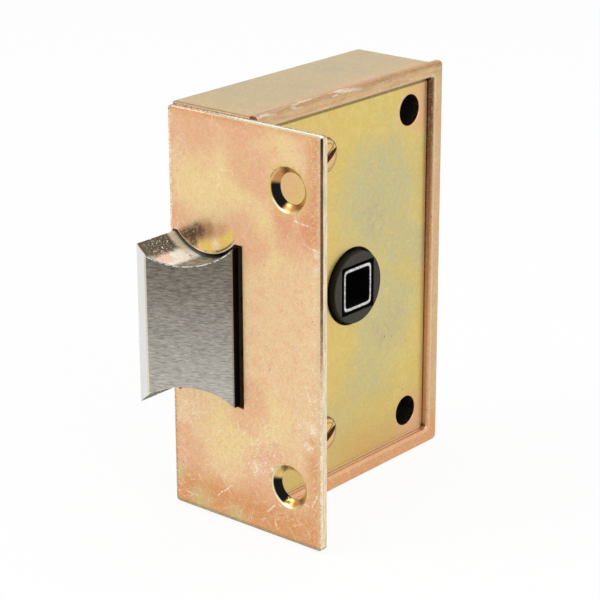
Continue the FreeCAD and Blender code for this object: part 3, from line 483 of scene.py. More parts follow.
def finish_case():
    """Tan plating with violet clouds, a rim in four tints with painted shade and highlights, and a mouth in
    painted shade.
    """
    c = colours()
    paint, fine, grain = plated("case_plating")
    x, y, z = paint.axes
    deep, away = x * -1, z.size()
    cloud = paint.noise(9, detail=4, distortion=0.6, shift=(9, 4, 2)).between(0.45, 0.68)
    patch = paint.noise(6, detail=3, distortion=0.5, shift=(1, 14, 5)).between(0.42, 0.62)
    streaks = paint.noise(0.9, detail=3, roughness=0.7, stretch=(1, 0.12, 1), shift=(2, 2, 6))

    # The rim: tan above, pink beside and orange below, with painted shade across the top band, orange painted
    # shade on the outer bend and a pale painted highlight on the inner bend
    rim = deep.between(1.75, 1.45)
    above = z.between(42.5, 43.2)
    bend = highest(away.between(45.6, 46.3), y.between(29.6, 30.3))
    inner = highest((away - 43.4).size().between(0.5, 0.1) * y.between(27.6, 27.2),
                    (y - 27.6).size().between(0.5, 0.1) * away.between(43.6, 43.2))
    band = paint.layers(
        c.pink,
        (patch * 0.5, c.cream),
        (y.between(26, 28) * 0.5, c.tan),
        (z.between(-34, -43) * 0.7, c.orange),
        (above * 0.4, c.tan),
        # Painted shade across the top band, deepest towards its outer edge
        (above * (streaks.between(0.4, 0.62) * 0.2 + z.between(44.6, 46.2) * 0.35), c.recess),
        # Painted shade on the outer bend
        (bend * 0.4, c.orange),
        # Painted highlight on the inner bend
        (inner * 0.2, c.scratch))
    # A painted shade line in the crease where the rim meets the top
    crease_shade = highest(away.between(45.85, 46.0), y.between(29.8, 30.0)) * (y.between(-22, 8) * 0.5 + 0.4)
    crease_shade = (deep - 1.65).size().between(0.4, 0.08) * crease_shade

    # The rim's mouth wall: painted shade, dark brown at the top and paler lower down, with a painted dark
    # corner at the bottom
    wall = y.between(26.3, 26.6) * y.between(27.8, 27.35) * away.between(43.0, 42.8)
    wall = wall * deep.between(0.02, 0.4) * deep.between(6, 5)
    # glow is the mouth wall's painted shade: dark brown at the top, paler lower down
    glow = paint.layers(
        c.recess,
        (z.between(46, -8), paint.mix(0.45, c.orange, paint.mix(0.5, c.recess, c.violet))),
        (z.between(6, -24) * 0.35, c.cream),
        # Painted shade in the mouth's lower rear corner
        (paint.near(0, y=26.9, z=-42.6).between(0.9, 0.3) * deep.between(0.6, 1.0), c.dirt_and_shade))
    # A pale painted highlight along the mouth's lower ledge, just below the cover
    ledge_highlight = (z + 43.0).size().between(0.5, 0.2) * (deep - 1.35).size().between(0.5, 0.2)
    # Painted shade inside the case, behind the rim
    inside = deep.between(2.9, 3.2) * deep.between(21.9, 21.5)
    inside = inside * away.between(45.2, 44.6) * y.between(29.2, 28.7) * y.between(-34.0, -33.2)

    # Dark broken lines along the top's edges; wear: pits, nicks and a worn strip of the rim
    outline = z.between(45.0, 45.5) * highest(y.between(29.0, 29.6), deep.between(22.5, 23.1))
    outline = outline * deep.between(1.5, 2.2) * streaks.between(0.3, 0.6)
    pits = paint.specks(1.5, 0.14, shift=(7, 2, 4)) * paint.noise(5, shift=(5, 5, 1)).between(0.54, 0.62)
    edge_pits = paint.specks(1.1, 0.16, shift=(2, 2, 7)) * y.between(28.8, 29.5) * deep.between(1.6, 3)
    marks = paint.nicks("YZ", 0.12, ((35, 8), (-20, 10), (75, 7), (4, 12))) * rim
    worn = above * y.between(6, -4) * z.between(44.8, 45.4) * deep.between(1.5, 1.0)
    worn = worn * streaks.between(0.5, 0.6)
    tone = paint.layers(
        c.tan,
        (cloud * 0.5, c.violet),
        (deep.between(9, 2.5) * (patch * 0.5 + 0.3), paint.mix(0.4, c.pink, c.tan)),
        (y.between(-27, -33) * 0.25, c.pink),
        # Painted shade along the case's front edge beside the forend
        (y.between(-33.8, -34.3) * 0.5, paint.mix(away.between(43.5, 45), c.green, c.recess)),
        (rim, band),
        (crease_shade, c.recess),
        (wall * 0.95, glow),
        (ledge_highlight * 0.7, c.scratch),
        (inside * 0.6, c.recess),
        (outline * 0.7, c.dirt_and_shade),
        (highest(pits, edge_pits) * 0.7, c.dirt_and_shade),
        (highest(marks * 0.25, worn * 0.6), c.scratch))
    roof = z.between(45.6, 45.9) * deep.between(1.7, 2.0)
    tone = paint.shade(paint.freckled(tone, 0.3), fine * 0.26 + grain * 0.34 + 0.69 - roof * 0.03)
    return paint.done(tone, fine * 0.16 + 0.3, fine + grain * 0.5 - pits * 0.8, 0.22, 0.04)


# The plainest scratches on the forend, each from one place to another in x and z
FOREND_SCRATCHES = (
    ((12.1, 26.9), (17.2, 26.3)), ((14.3, 22.4), (18.4, 21.5)), ((-20.6, -42.6), (-15.9, -42.6)),
    ((-10.2, -41.1), (-5.9, -37.2)), ((4.4, -40.7), (7.0, -37.8)), ((16.5, -36.1), (18.6, -32.5)),
    ((14.8, -35.6), (16.5, -36.1)), ((14.8, -8.2), (16.7, -12.5)), ((6.4, -41.5), (6.9, -44.0)))


def finish_forend():
    """Cream plating in pink, yellow and orange clouds, scratched all over."""
    c, m = colours(), Millimetres()
    paint, fine, grain = plated("forend_plating")
    x, y, z = paint.axes
    wander = paint.noise(8, detail=3, distortion=0.5, shift=(2, 6, 1)) * 12 - 6
    wisp = paint.noise(3.2, detail=4, roughness=0.65, distortion=0.6, shift=(12, 4, 6))
    sunny = paint.spots(
        wander,
        (5, 6, -13, 30), (4, 6, -5, 32), (3, 6, 6, 40), (4, 7, 4, 22), (5, 7, -6, -24), (4, 5, 4, -19))
    rosy = paint.spots(
        wander,
        (4, 8, -16, 43), (3, 8, -2, 44), (2, 6, -21, 20), (3, 6, 2, 36), (3, 6, -1, 21), (4, 7, 6, -33),
        (5, 6, 13, 27), (3, 5, -1, -17), (3, 6, -20, -33))
    flush = paint.spots(wander * 0.3, (1.5, 4, 15.8, 25.5), (1, 3.5, 9.5, 25.5))
    rims = highest(
        (z + wander * 0.4).between(-34, -40), (z + wander * 0.3).between(43.0, 46.5) * 0.75,
        (x + wander * 0.2).between(13.5, 17.5) * (z.size() + wander).between(17, 27) * 0.85,
        (x + wander * 0.15).between(-20.5, -23) * 0.5)
    olive = highest(paint.spots(wander * 0.35, (1.5, 3.5, -15, -43.2), (1.2, 3.0, -5, -43.8)),
                    paint.spots(wander * 0.3, (1.0, 2.5, -22, -38)))

    # The edge round the upper hollow: a painted reflection of the bolt, yellow with a dark patch on the left,
    # an orange-brown blush, a painted shade line along the gap and a painted highlight on the slot's edge
    middle, centre = BOLT_MIDDLE / MM, hollow_centre() / MM
    within = paint.near(m.hollow - m.slot_bulge, x=middle, z=centre) * -1
    yellow_reflection = within.between(0.3, 0.9) * within.between(4.0, 2.2) * wisp.between(0.1, 0.4)
    yellow_reflection = yellow_reflection * x.between(-15.5, -12.8) * x.between(-3.6, -5.6) * z.between(22.5, 20.5)
    blush = paint.spots(wander * 0.12, (0.6, 2.4, -11.6, 20.4), (0.3, 2.6, -7.6, 20.9, 0.6))
    dark_bolt_reflection = highest(paint.spots(wander * 0.06, (0.8, 1.9, -14.4, 19.6), (0.8, 1.6, -16.3, 18.4)),
                     paint.spots(wander * 0.05, (0.6, 1.4, -18.2, 17.9), (0.5, 1.3, -16.0, 16.8)))
    reflection_tone = paint.mix(x.between(-16.5, -13.5), paint.mix(0.6, c.steel_dark, c.dirt_and_shade),
                      paint.mix(0.2, c.recess, c.orange))
    reflection_breakup = paint.noise(0.42, detail=2, roughness=0.6, shift=(5, 2, 9)).between(0.57, 0.63)
    near_arc = paint.spot(7, 3, 0, x=middle, z=16)
    tone = paint.layers(
        c.cream,
        (wisp.between(0.45, 0.68) * 0.5, c.pink),
        (sunny * 0.62, c.yellow),
        (rosy * 0.8, paint.mix(0.35, c.pink, c.rose)),
        (flush * 0.75, paint.mix(0.7, c.orange, c.rose)),
        (rims * 0.95, c.orange),
        (olive * 0.6, paint.mix(0.5, c.straw, c.green)),
        (blush * 0.7, paint.mix(0.3, c.orange, c.recess)),
        # The bolt's painted reflection: yellow along the hollow's edge, dark on the left
        (yellow_reflection * 0.9, c.brass),
        (paint.spot(0.4, 1.4, wander * 0.1, x=-9.5, z=17.1) * 0.5, c.scratch),
        (dark_bolt_reflection * (0.95 - reflection_breakup * 0.7), reflection_tone),
        # A painted shade line along the gap at the slot's edge
        ((within - 0.55).size().between(0.3, 0.1) * near_arc * wisp.between(0.45, 0.55) * 0.8, c.dirt_and_shade),
        # A painted highlight on the slot's edge
        ((within - 0.12).size().between(0.16, 0.06) * near_arc * 0.9, c.white))

    # The countersinks: gold, with a painted black-brown reflection on the lower left, a painted glint at the
    # bottom, a painted orange reflection at the lower right and painted shade round the lip
    dark_reflections, glints, blushes = [], [], []
    for height in (m.forend_hole_z, -m.forend_hole_z):
        from_centre = paint.near(0, x=m.forend_hole_x, z=height) + 0.01
        across, up = (x - m.forend_hole_x) / from_centre, (z - height) / from_centre
        dark_reflections.append((across * -0.88 + up * -0.48).between(0.66, 0.84))
        glints.append((across * -0.5 + up * -0.87).between(0.8, 0.97))
        blushes.append(highest((across * 0.5 + up * -0.87).between(0.82, 0.97),
                               (across * -0.1 + up * 0.99).between(0.88, 0.99)))
    dark_reflection, glint = highest(*dark_reflections), highest(*glints)
    ring = paint.near_pair(m.forend_sink, m.forend_hole_z, x=m.forend_hole_x)
    cone = ring.between(0.02, -0.08)
    halo = (ring + wander * 0.08).between(1.7, 0.1) * z.between(-40, -20).larger(0.4)
    # Painted dark streaks in the lower cone's reflection
    dark_streaks = paint.noise(0.55, detail=2, shift=(8, 8, 1)).between(0.44, 0.52) * ring.between(-0.4, -0.7)
    # A painted shade ring round the countersinks' outer edge
    lip = ring.size().between(0.2, 0.05) * (1 - glint) * (1 - dark_reflection)
    tone = paint.layers(
        tone,
        (halo * 0.5, c.gold),
        (cone * 0.85, c.gold),
        (cone * ring.between(-0.1, -0.7) * highest(*blushes) * 0.9, paint.mix(0.25, c.orange, c.recess)),
        (cone * ring.between(-0.9, -1.2) * glint * 0.7, c.lemon),
        (cone * ring.between(-0.16, -0.4) * dark_reflection, c.shade_black),
        (cone * ring.between(-0.4, -0.2) * glint, paint.mix(0.55, c.lemon, c.white)),
        (cone * dark_streaks * glints[1] * 0.85, c.shade_black),
        (lip * wisp.between(0.4, 0.6) * 0.6, c.recess))

    # Wear: short nicks and long bent scratches, densest low down and by the lower hole
    low = z.between(6, -14)
    dense = paint.spots(
        wander,
        (3, 6, 3, -28), (2, 4, 16, -20), (2, 5, -17, -20), (3, 5, 10, -38, 0.5), (1, 5, -20, 37, 0.7))
    dense = highest(dense, x.between(15, 18) * 0.8, x.between(-19, -21.5) * 0.5)
    short = paint.nicks("XZ", 0.13, (
        (32, 9), (-28, 10), (64, 8), (6, 11), (-62, 9), (84, 10), (46, 14), (-44, 7)))
    long = paint.nicks("XZ", 0.1, ((24, 26), (-52, 22), (71, 28), (-14, 20), (40, 18)))
    bent = highest(paint.curls(16, 0.0016, 3, 0.8), paint.curls(12, 0.002, 11, 0.7),
                   paint.curls(8, 0.0026, 23) * low)
    patches = dense * 0.25 + paint.noise(3, detail=3, shift=(9, 1, 1))
    flecks = paint.specks(0.6, 0.2, shift=(4, 4, 1)) * patches.between(0.56, 0.66)
    worn = paint.noise(0.8, detail=4, roughness=0.75, distortion=0.5, shift=(3, 1, 12)).between(0.58, 0.66)
    waver = paint.noise(2.2, detail=3, roughness=0.6, shift=(2, 2, 15)) * 1.2 - 0.6
    frayed = paint.noise(0.6, detail=3, roughness=0.7, shift=(7, 2, 15)).between(0.4, 0.52)
    strokes = highest(*(paint.stroke(start, end, 0.22, waver) for start, end in FOREND_SCRATCHES)) * frayed
    scrapes = paint.spots(
        0, (0.2, 1.6, 18.2, 21.0), (0.1, 1.3, 18.3, 17.5), (0.3, 1.8, 17.0, -18.0), (0.2, 1.8, 16.0, -22.5),
        (0.3, 2.4, 1.2, -31.0)) * (frayed * 0.7 + 0.3)
    marks = strokes * 0.7 + scrapes * 0.55 + worn * dense * 0.6 + bent * 0.45 + flecks * 0.8
    marks = marks + short * (dense * 0.5 + low * 0.04 + 0.08) + long * (low * 0.4 + 0.2)
    marks = marks.smaller(1.0) * (1 - cone)
    pits = paint.specks(2.6, 0.08, shift=(1, 9, 4)) * paint.noise(7, shift=(15, 5, 1)).between(0.5, 0.6)
    tone = paint.layers(tone, (marks, c.scratch), (pits * 0.6, c.dirt_and_shade))
    tone = paint.freckled(tone, (1 - cone) * 0.34)

    # The edges: painted shade down the right corner, a top speckled dark brown and gold with a painted
    # highlight along its front, and a dull lower edge
    face = y.between(-36.2, -36.45)
    top = z.between(45.3, 45.5)
    drawn = paint.noise(0.35, detail=3, roughness=0.7, stretch=(0.08, 1, 0.08), shift=(1, 1, 5))
    fading = paint.noise(2.5, detail=4, roughness=0.6, stretch=(0.2, 0.2, 1), shift=(3, 3, 3))
    broken = (z + fading * 24 - 12).between(-22, 12)
    right_corner = x.between(19.0, 19.18) * y.between(-35.9, -36.1)
    chips = paint.noise(0.5, detail=4, roughness=0.7, shift=(6, 1, 9)).between(0.48, 0.54)
    corner_shade = paint.mix(z.between(45, 38) * (chips * 0.5 + 0.5), c.shade_black, paint.mix(0.2, c.dirt_and_shade, c.orange))
    shine = top * y.between(-35.2, -35.6) * (x.between(-16, 2) * 0.8 + chips * 0.5).smaller(1.0)
    dull = paint.mix(0.5, c.dirt_and_shade, c.green)
    side = paint.mix(drawn.between(0.45, 0.6) * 0.7, paint.mix(0.5, c.cream, c.scratch), c.green)
    tone = paint.layers(
        tone,
        (x.between(19.2, 19.34), side),
        (x.between(17.9, 18.7) * face * 0.45, paint.mix(0.5, c.cream, c.green)),
        # Painted shade down the right corner, dark at the top and orange lower down
        (right_corner * broken * 0.97, paint.mix(z.between(8, -14) * 0.75, corner_shade, c.orange)),
        (right_corner * (1 - broken) * chips * 0.7, c.scratch),
        (top * (1 - face) * 0.8, paint.mix(chips, c.recess, c.gold)),
        # A painted highlight along the top's front edge
        (shine, c.white),
        (top * face * x.between(-20, -4) * 0.85, paint.mix(0.4, c.dirt_and_shade, c.brass)),
        (paint.near(0, x=-22.7, z=45.6).between(1.3, 0.6) * 0.85, c.shade_black),
        (z.between(-44.6, -44.95) * (1 - chips * 0.6) * 0.85, dull),
        (x.between(-21.8, -22.15) * chips * 0.8, paint.mix(z.between(-8, -22), c.scratch, dull)))
    return paint.done(paint.shade(tone, fine * 0.22 + grain * 0.4 + 0.69),
                      fine * 0.16 + 0.27 + marks * 0.1 - cone * 0.1,
                      fine * 0.7 + grain * 0.4 - marks * 0.3 - pits, 0.2, 0.04)


def finish_cover():
    """Straw plating in green and lilac clouds, warmer low down and towards the forend."""
    c, m = colours(), Millimetres()
    paint, fine, grain = plated("cover_plating", roughness=0.3)
    _, y, z = paint.axes
    wander = paint.noise(9, detail=4, distortion=0.7, shift=(4, 8, 2)) * 16 - 8
    wisp = paint.noise(4, detail=4, roughness=0.6, distortion=0.6, shift=(7, 4, 6))
    veil = paint.noise(2.2, detail=4, roughness=0.65, distortion=0.8, shift=(17, 4, 9))
    cool = paint.spots(
        wander, (7, 13, 9, 19), (4, 10, 17, 9, 0.85), (5, 12, 12, -10, 0.9), (4, 10, 6, -22, 0.7),
        (3, 7, 25, 4, 0.85), (3, 8, -6, -33, 0.5), axes="yz")
    lilac = paint.spots(wander, (1, 7, 8, 14), (1, 6, 14, -12), axes="yz") * veil.between(0.4, 0.6)
    warm = highest((z + wander * 0.5).between(-26, -40) * 0.6, (y + wander * 0.5).between(3, -9) * 0.3)
    low = (z + wander * 0.4).between(-32, -42) * y.between(-14, 4)
    corners = paint.near(0, y=m.fixing_y + 3, z=m.fixing_z).smaller(
        paint.near(0, y=m.fixing_y + 2, z=-m.fixing_z - 2))
    edge = highest(y.between(26.2, 26.5), z.between(-42.3, -42.6))
    marks = paint.nicks("YZ", 0.1, ((12, 10), (-35, 8), (70, 9)))
    pits = paint.specks(3.0, 0.07, shift=(3, 3, 4)) * paint.noise(9, shift=(25, 5, 1)).between(0.48, 0.58)
    holes = paint.near_pair(m.fixing_hole, m.fixing_z, y=m.fixing_y)
    heads = paint.near_pair(m.screw_head, m.screw_z, y=m.screw_y)
    tone = paint.layers(
        c.straw,
        (wisp.between(0.45, 0.65) * 0.5, c.lemon),
        (cool * (veil.between(0.25, 0.6) * 0.5 + 0.45), c.green),
        (lilac * 0.4, c.violet),
        (0.1, c.brass),
        (warm, c.gold),
        (low * 0.35, c.orange),
        (paint.spot(2, 6, wander * 0.5, y=-21.6, z=29) * 0.6, c.pink),
        ((corners + wander * 0.4).between(9, 2) * 0.85, c.pink),
        # A painted highlight along the cover's edges
        (edge * 0.75, c.scratch),
        # A painted shade line along the top edge, under the rim
        (z.between(41.85, 42.1) * 0.92, paint.mix(0.25, c.dirt_and_shade, c.straw)),
        (marks * 0.25, c.scratch),
        (pits * 0.85, c.dirt_and_shade),
        # Painted shade at the edges of the through holes
        (holes.between(0.06, 0.0) * 0.93, c.shade_black),
        # A painted shade ring round the screw heads
        (heads.between(0.32, 0.08) * 0.8, c.recess))
    shading = fine * 0.2 + grain * 0.3 + 0.745 - z.between(-14, -42) * 0.09
    return paint.done(paint.shade(paint.freckled(tone, 0.16), shading), fine * 0.14 + 0.25,
                      fine * 0.6 + grain * 0.4 - pits, 0.18, 0.04)


def finish_screw():
    """Pinkish gold heads with a painted shade outline, a painted shade ring inside it and painted shade on
    the slot's walls.
    """
    c, m = colours(), Millimetres()
    paint, fine, grain = plated("screw_plating")
    _, y, z = paint.axes
    cloud = paint.noise(1.6, detail=3, distortion=0.4, shift=(2, 1, 1)).between(0.4, 0.65)
    out = paint.near_pair(m.screw_head, m.screw_z, y=m.screw_y)
    turn = sizes().screw_turn
    upper, lower = (((z - height) * math.cos(turn) - (y - m.screw_y) * math.sin(turn)).size()
                    for height in (m.screw_z, -m.screw_z))
    wall = (upper.smaller(lower) - m.screw_slot / 2).size()
    tone = paint.layers(
        c.gold,
        (cloud, c.pink),
        # Painted shade: an outline at the head's edge, a ring on its rounded edge and the slot's walls
        (out.between(-0.5, -0.1) * 0.85, c.recess),
        ((out + 1.05).size().between(0.22, 0.06) * 0.5, c.recess),
        (wall.between(0.28, 0.12) * 0.95, c.recess))
    return paint.done(paint.shade(tone, fine * 0.3 + 0.85), fine * 0.15 + 0.2, fine + grain * 0.4, 0.2, 0.03)


def finish_bolt():
    """Ground steel: streaks across the bevel, painted shade on its upper half, a bright nose, hollows with a
    painted reflection and a side in painted shade.
    """
    c, m = colours(), Millimetres()
    paint = Paint("bolt_steel", metallic=0.85, roughness=0.34)
    x, y, z = paint.axes
    lines = paint.noise(0.42, detail=3, roughness=0.75, distortion=0.3, stretch=(0.16, 0.16, 1))
    short = paint.noise(0.3, detail=1.5, roughness=0.65, distortion=0.5, stretch=(0.2, 0.2, 1),
                        shift=(4, 4, 9))
    broad = paint.noise(1.5, detail=3, roughness=0.6, stretch=(0.12, 0.12, 1), shift=(2, 5, 3))
    calm = z.between(14, -16) * 0.7
    # Painted shade: the upper half is laid darker than the lower half
    ground = paint.shade(paint.mix(z.between(19, -19), c.steel_dark, c.steel),
                         lines * 0.6 + (short - 0.5) * (2.0 - calm) + broad * 0.12 + 0.64)

    # The hollows: a painted reflection, white beside the plate with straw and rose tints, mottled grey
    # further out
    middle, centre = BOLT_MIDDLE / MM, hollow_centre() / MM
    hollow = paint.near_pair(m.hollow, centre, x=middle).between(0.12, 0.04)
    mottle = paint.noise(0.9, detail=4, roughness=0.75, distortion=0.5, shift=(8, 2, 2))
    drift = paint.noise(2.0, detail=4, roughness=0.65, shift=(1, 4, 8)) * 4 - 2
    glitter = paint.noise(0.4, detail=2, roughness=0.6, shift=(3, 8, 1)) + mottle * 0.35
    patchy = paint.noise(0.7, detail=3, roughness=0.7, stretch=(0.4, 1, 1), shift=(6, 1, 2))
    near_plate = (y + drift * 0.4).between(-39.2, -38.0)
    pale = paint.layers(
        c.white,
        (near_plate * (x + drift).between(-15.5, -18) * 0.5, c.straw),
        ((y + drift).between(-41.6, -43.0) * (x + drift).between(-14.0, -17.0) * 0.45, c.rose),
        (mottle.between(0.56, 0.62) * 0.3, c.dirt_and_shade))
    grey = paint.layers(
        paint.mix(0.5, c.shade_black, c.steel_dark),
        (mottle.between(0.42, 0.8) * 0.6, paint.mix(0.4, c.steel_dark, c.green)),
        (glitter.between(0.78, 0.84) * (y + drift).between(-47.5, -44).larger(0.3), c.white))
    rough = paint.mix(patchy.between(0.46, 0.6), paint.mix(0.5, c.dirt_and_shade, c.steel_dark),
                      paint.mix(0.5, c.green, c.steel_dark))
    oval = ((x + 14.2) ** 2.0 * 0.35 + (y + 38.3) ** 2.0 * 3.0) ** 0.5
    inside = paint.layers(
        pale,
        ((x + drift * 0.6).between(-17.4, -18.8) * (1 - near_plate * 0.8), grey),
        ((x + drift * 0.5).between(-14.8, -13.0) * 0.9, rough),
        ((oval - 0.7).size().between(0.2, 0.06) * 0.7, c.dirt_and_shade))
    brink = paint.near(m.hollow + 0.24, x=middle, z=centre).size().between(0.15, 0.05)

    front, side = BOLT[0][1] / MM, BOLT[1][0] / MM
    nose = y.between(front + 0.1, front + 0.04)
    pits = paint.specks(1.1, 0.1, shift=(1, 2, 3)) * paint.noise(4, shift=(7, 7, 7)).between(0.5, 0.62)
    tone = paint.layers(
        ground,
        (hollow, inside),
        # A painted highlight along the hollow's brink
        (brink * mottle.between(0.42, 0.54) * 0.8, c.white),
        # A painted highlight along the nose's edge
        ((y - front - 0.16).size().between(0.13, 0.05) * 0.6, c.scratch),
        (nose, c.bright),
        # Painted shade beside the side edge, on the side itself and where the bolt enters the slot
        ((x - side + 0.22).size().between(0.14, 0.05) * 0.6, paint.mix(0.4, c.dirt_and_shade, c.orange)),
        (x.between(side - 0.12, side - 0.03), c.shade_black),
        (y.between(-36.6, -36.2) * 0.8, c.steel_dark),
        (pits * 0.5, c.dirt_and_shade))
    paint.feed("Metallic", 0.85 - nose * 0.55 - hollow * 0.7)
    return paint.done(tone, lines * 0.2 + 0.26 + hollow * 0.12, lines - pits * 0.5, 0.25, 0.03)


def finish_nylon():
    """Dull charcoal, scuffed, with painted shade on its edges."""
    c = colours()
    paint = Paint("follower_nylon", specular=0.25)
    x, y, z = paint.axes
    fine = paint.noise(0.5, detail=4, roughness=0.7)
    cloud = paint.noise(4, detail=3, shift=(2, 2, 2)).between(0.35, 0.7)
    tone = paint.shade(paint.mix(cloud * 0.3, c.nylon, c.dirt_and_shade), fine * 0.5 + 0.75)
    face = FOLLOWER[1][0] / MM
    # Painted shade on the boss's side, its rounded edge and the edge of the square recess
    edges = highest(
        x.between(face - 0.05, face - 0.25),
        paint.near(8.25, y=0, z=0).size().between(0.16, 0.04),
        (highest(y.size(), z.size()) - 5.15).size().between(0.22, 0.08))
    tone = paint.layers(tone, (paint.hairs(0.22, 20, share=0.08, axis="YZ") * 0.3, c.spring),
                        (edges * 0.92, c.shade_black))
    return paint.done(tone, fine * 0.25 + 0.4, fine, 0.25, 0.03)


def from_axis(across, up):
    """Distance from the axis as a square with rounded corners measures it."""
    return (across ** 10.0 + up ** 10.0) ** 0.1


def finish_sleeve():
    """Bright drawn tube, with painted shade down its bore and round its edges."""
    c, m = colours(), Millimetres()
    paint = Paint("sleeve_steel", metallic=0.85, roughness=0.3)
    x, y, z = paint.axes
    lines = paint.noise(0.3, detail=3, roughness=0.7, stretch=(0.1, 1, 1))
    spots = paint.noise(0.5, detail=4, roughness=0.7, shift=(2, 7, 3)).between(0.45, 0.6)
    depth = SLEEVE[1][0] / MM - 0.12
    inner, outer = m.sleeve_inner, m.sleeve_outer
    # Painted shade down the bore, round the outer edge and just below the face
    bore = from_axis((y.size() - 0.1).larger(0.0), z.size()).between(inner + 0.3, inner + 0.2)
    outside = from_axis(y.size() + 0.1, z.size()).between(outer - 0.2, outer - 0.08)
    tone = paint.layers(
        c.bright,
        (spots * 0.65, c.steel_dark),
        (bore, c.shade_black),
        (outside, c.shade_black),
        (x.between(depth, depth - 0.2), c.shade_black))
    return paint.done(paint.shade(tone, lines * 0.3 + 0.85), lines * 0.2 + 0.25 + bore * 0.3, lines,
                      0.15, 0.02)


def finish_tube():
    """Dull steel tube, with painted shade down its bore."""
    c, m = colours(), Millimetres()
    paint = Paint("tube_steel", metallic=0.7, roughness=0.4)
    lines = paint.noise(0.3, detail=3, roughness=0.7, stretch=(0.1, 1, 1))
    # Painted shade down the bore
    bore = paint.near_pair(m.fixing_hole, m.fixing_z, y=m.fixing_y).between(0.2, 0.05)
    tone = paint.layers(c.steel, (lines.between(0.4, 0.65) * 0.5, c.steel_dark), (bore * 0.95, c.shade_black))
    return paint.done(tone, lines * 0.2 + 0.3 + bore * 0.1, lines, 0.2, 0.03)


def finish_steel(name, base, dark, roughness, grain, stretch=(1, 1, 1)):
    """Plain steel or zinc with drawn lines or mottling, a few stains, and painted shade where the ends lie in
    the forend's slot.
    """
    paint = Paint(name, metallic=0.9, roughness=roughness)
    lines = paint.noise(grain, detail=3, roughness=0.65, stretch=stretch)
    cloud = paint.noise(3.5, detail=4, roughness=0.6, distortion=0.4, shift=(4, 7, 1)).between(0.42, 0.7)
    pits = paint.specks(1.3, 0.12, shift=(5, 1, 2)) * paint.noise(3, shift=(6, 2, 9)).between(0.5, 0.6)
    tone = paint.layers(
        base,
        (cloud * 0.45, dark),
        (pits * 0.6, colours().dirt_and_shade),
        # Painted shade on the ends that lie in the forend's slot
        (paint.axes[1].between(-32.2, -33.2) * 0.92, colours().shade_black))
    return paint.done(paint.shade(tone, lines * 0.3 + 0.85), lines * 0.18 + roughness - 0.08, lines - pits,
                      0.2, 0.03)


FINISHES = {}


def finish(slot):
    """The material of one of the record's slots, made once."""
    c = colours()
    makers = {
        "case_plating": finish_case,
        "forend_plating": finish_forend,
        "cover_plating": finish_cover,
        "screw_plating": finish_screw,
        "bolt_steel": finish_bolt,
        "follower_nylon": finish_nylon,
        "sleeve_steel": finish_sleeve,
        "tube_steel": finish_tube,
        "tail_steel": lambda: finish_steel(slot, c.steel, c.steel_dark, 0.36, 0.4, (1, 0.05, 1)),
        "rivet_steel": lambda: finish_steel(slot, c.bright, c.steel, 0.34, 0.3),
        "pin_steel": lambda: finish_steel(slot, c.bright, c.steel_dark, 0.3, 0.25, (1, 0.1, 0.1)),
        "clip_steel": lambda: finish_steel(slot, c.steel_dark, c.dirt_and_shade, 0.32, 0.4),
        "bracket_steel": lambda: finish_steel(slot, c.straw, c.green, 0.38, 0.6),
        "spring_steel": lambda: finish_steel(slot, c.spring, c.dirt_and_shade, 0.28, 0.35),
    }
    if slot not in FINISHES:
        FINISHES[slot] = makers[slot]()
    return FINISHES[slot]


# Mesh building

class Shape:
    """A mesh under construction from rows of points."""

    def __init__(self):
        self.mesh = bmesh.new()

    def row(self, points):
        return [self.mesh.verts.new(point) for point in points]

    def face(self, corners):
        distinct = [v for n, v in enumerate(corners) if v is not corners[n - 1]]
        if len(distinct) > 2:
            self.mesh.faces.new(distinct)

    def skin(self, rows):
        """Joins neighbouring rows, which close on themselves, with four-sided faces."""
        for low, high in zip(rows, rows[1:]):
            for corners in zip(low, low[1:] + low[:1], high[1:] + high[:1], high):
                self.face(corners)

    def fill(self, rows, axes):
        """Closes the flat face between an outline and its holes; axes are the two of its plane."""
        corners = [v for row in rows for v in row]
        flat = [Vector((v.co[axes[0]], v.co[axes[1]])) / MM for v in corners]
        edges, start = [], 0
        for row in rows:
            edges += [(start + n, start + (n + 1) % len(row)) for n in range(len(row))]
            start += len(row)
        points, _, faces, origins, _, _ = delaunay_2d_cdt(flat, edges, [], 1, 1e-5)
        for face in faces:
            middle = sum((points[n] for n in face), Vector((0, 0))) / len(face)
            if sum(crossed(middle, flat[a], flat[b]) for a, b in edges) % 2:
                self.face([corners[origins[n][0]] for n in face])

    def piece(self, name="tool", weld=1e-6):
        """The bare object of the finished mesh, with doubles merged and faces outwards."""
        bmesh.ops.remove_doubles(self.mesh, verts=self.mesh.verts[:], dist=weld)
        bmesh.ops.recalc_face_normals(self.mesh, faces=self.mesh.faces[:])
        mesh = bpy.data.meshes.new(name)
        self.mesh.to_mesh(mesh)
        self.mesh.free()
        piece = bpy.data.objects.new(name, mesh)
        bpy.context.scene.collection.objects.link(piece)
        return piece


def crossed(point, a, b):
    """Whether a level ray from the point crosses the edge from a to b."""
    if (a.y > point.y) == (b.y > point.y):
        return False
    return point.x < a.x + (point.y - a.y) / (b.y - a.y) * (b.x - a.x)


def dress(piece, body, slot, node, sharp=34):
    """Gives a piece its finish, smooth shading between sharp edges, its body and the node it replaces."""
    mesh = piece.data
    mesh.materials.clear()
    mesh.materials.append(finish(slot))
    work = bmesh.new()
    work.from_mesh(mesh)
    for face in work.faces:
        face.smooth = True
        face.material_index = 0
    for edge in work.edges:
        if len(edge.link_faces) == 2:
            edge.smooth = edge.calc_face_angle(0) < math.radians(sharp)
    work.to_mesh(mesh)
    work.free()
    weights = piece.modifiers.new("even_normals", "WEIGHTED_NORMAL")
    weights.keep_sharp = True
    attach(piece, body)
    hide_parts(node)
    return piece


def circle(radius, centre=(0, 0), count=48):
    """Points of a circle, anticlockwise."""
    turns = [math.tau * n / count for n in range(count)]
    return [(centre[0] + radius * math.cos(turn), centre[1] + radius * math.sin(turn)) for turn in turns]


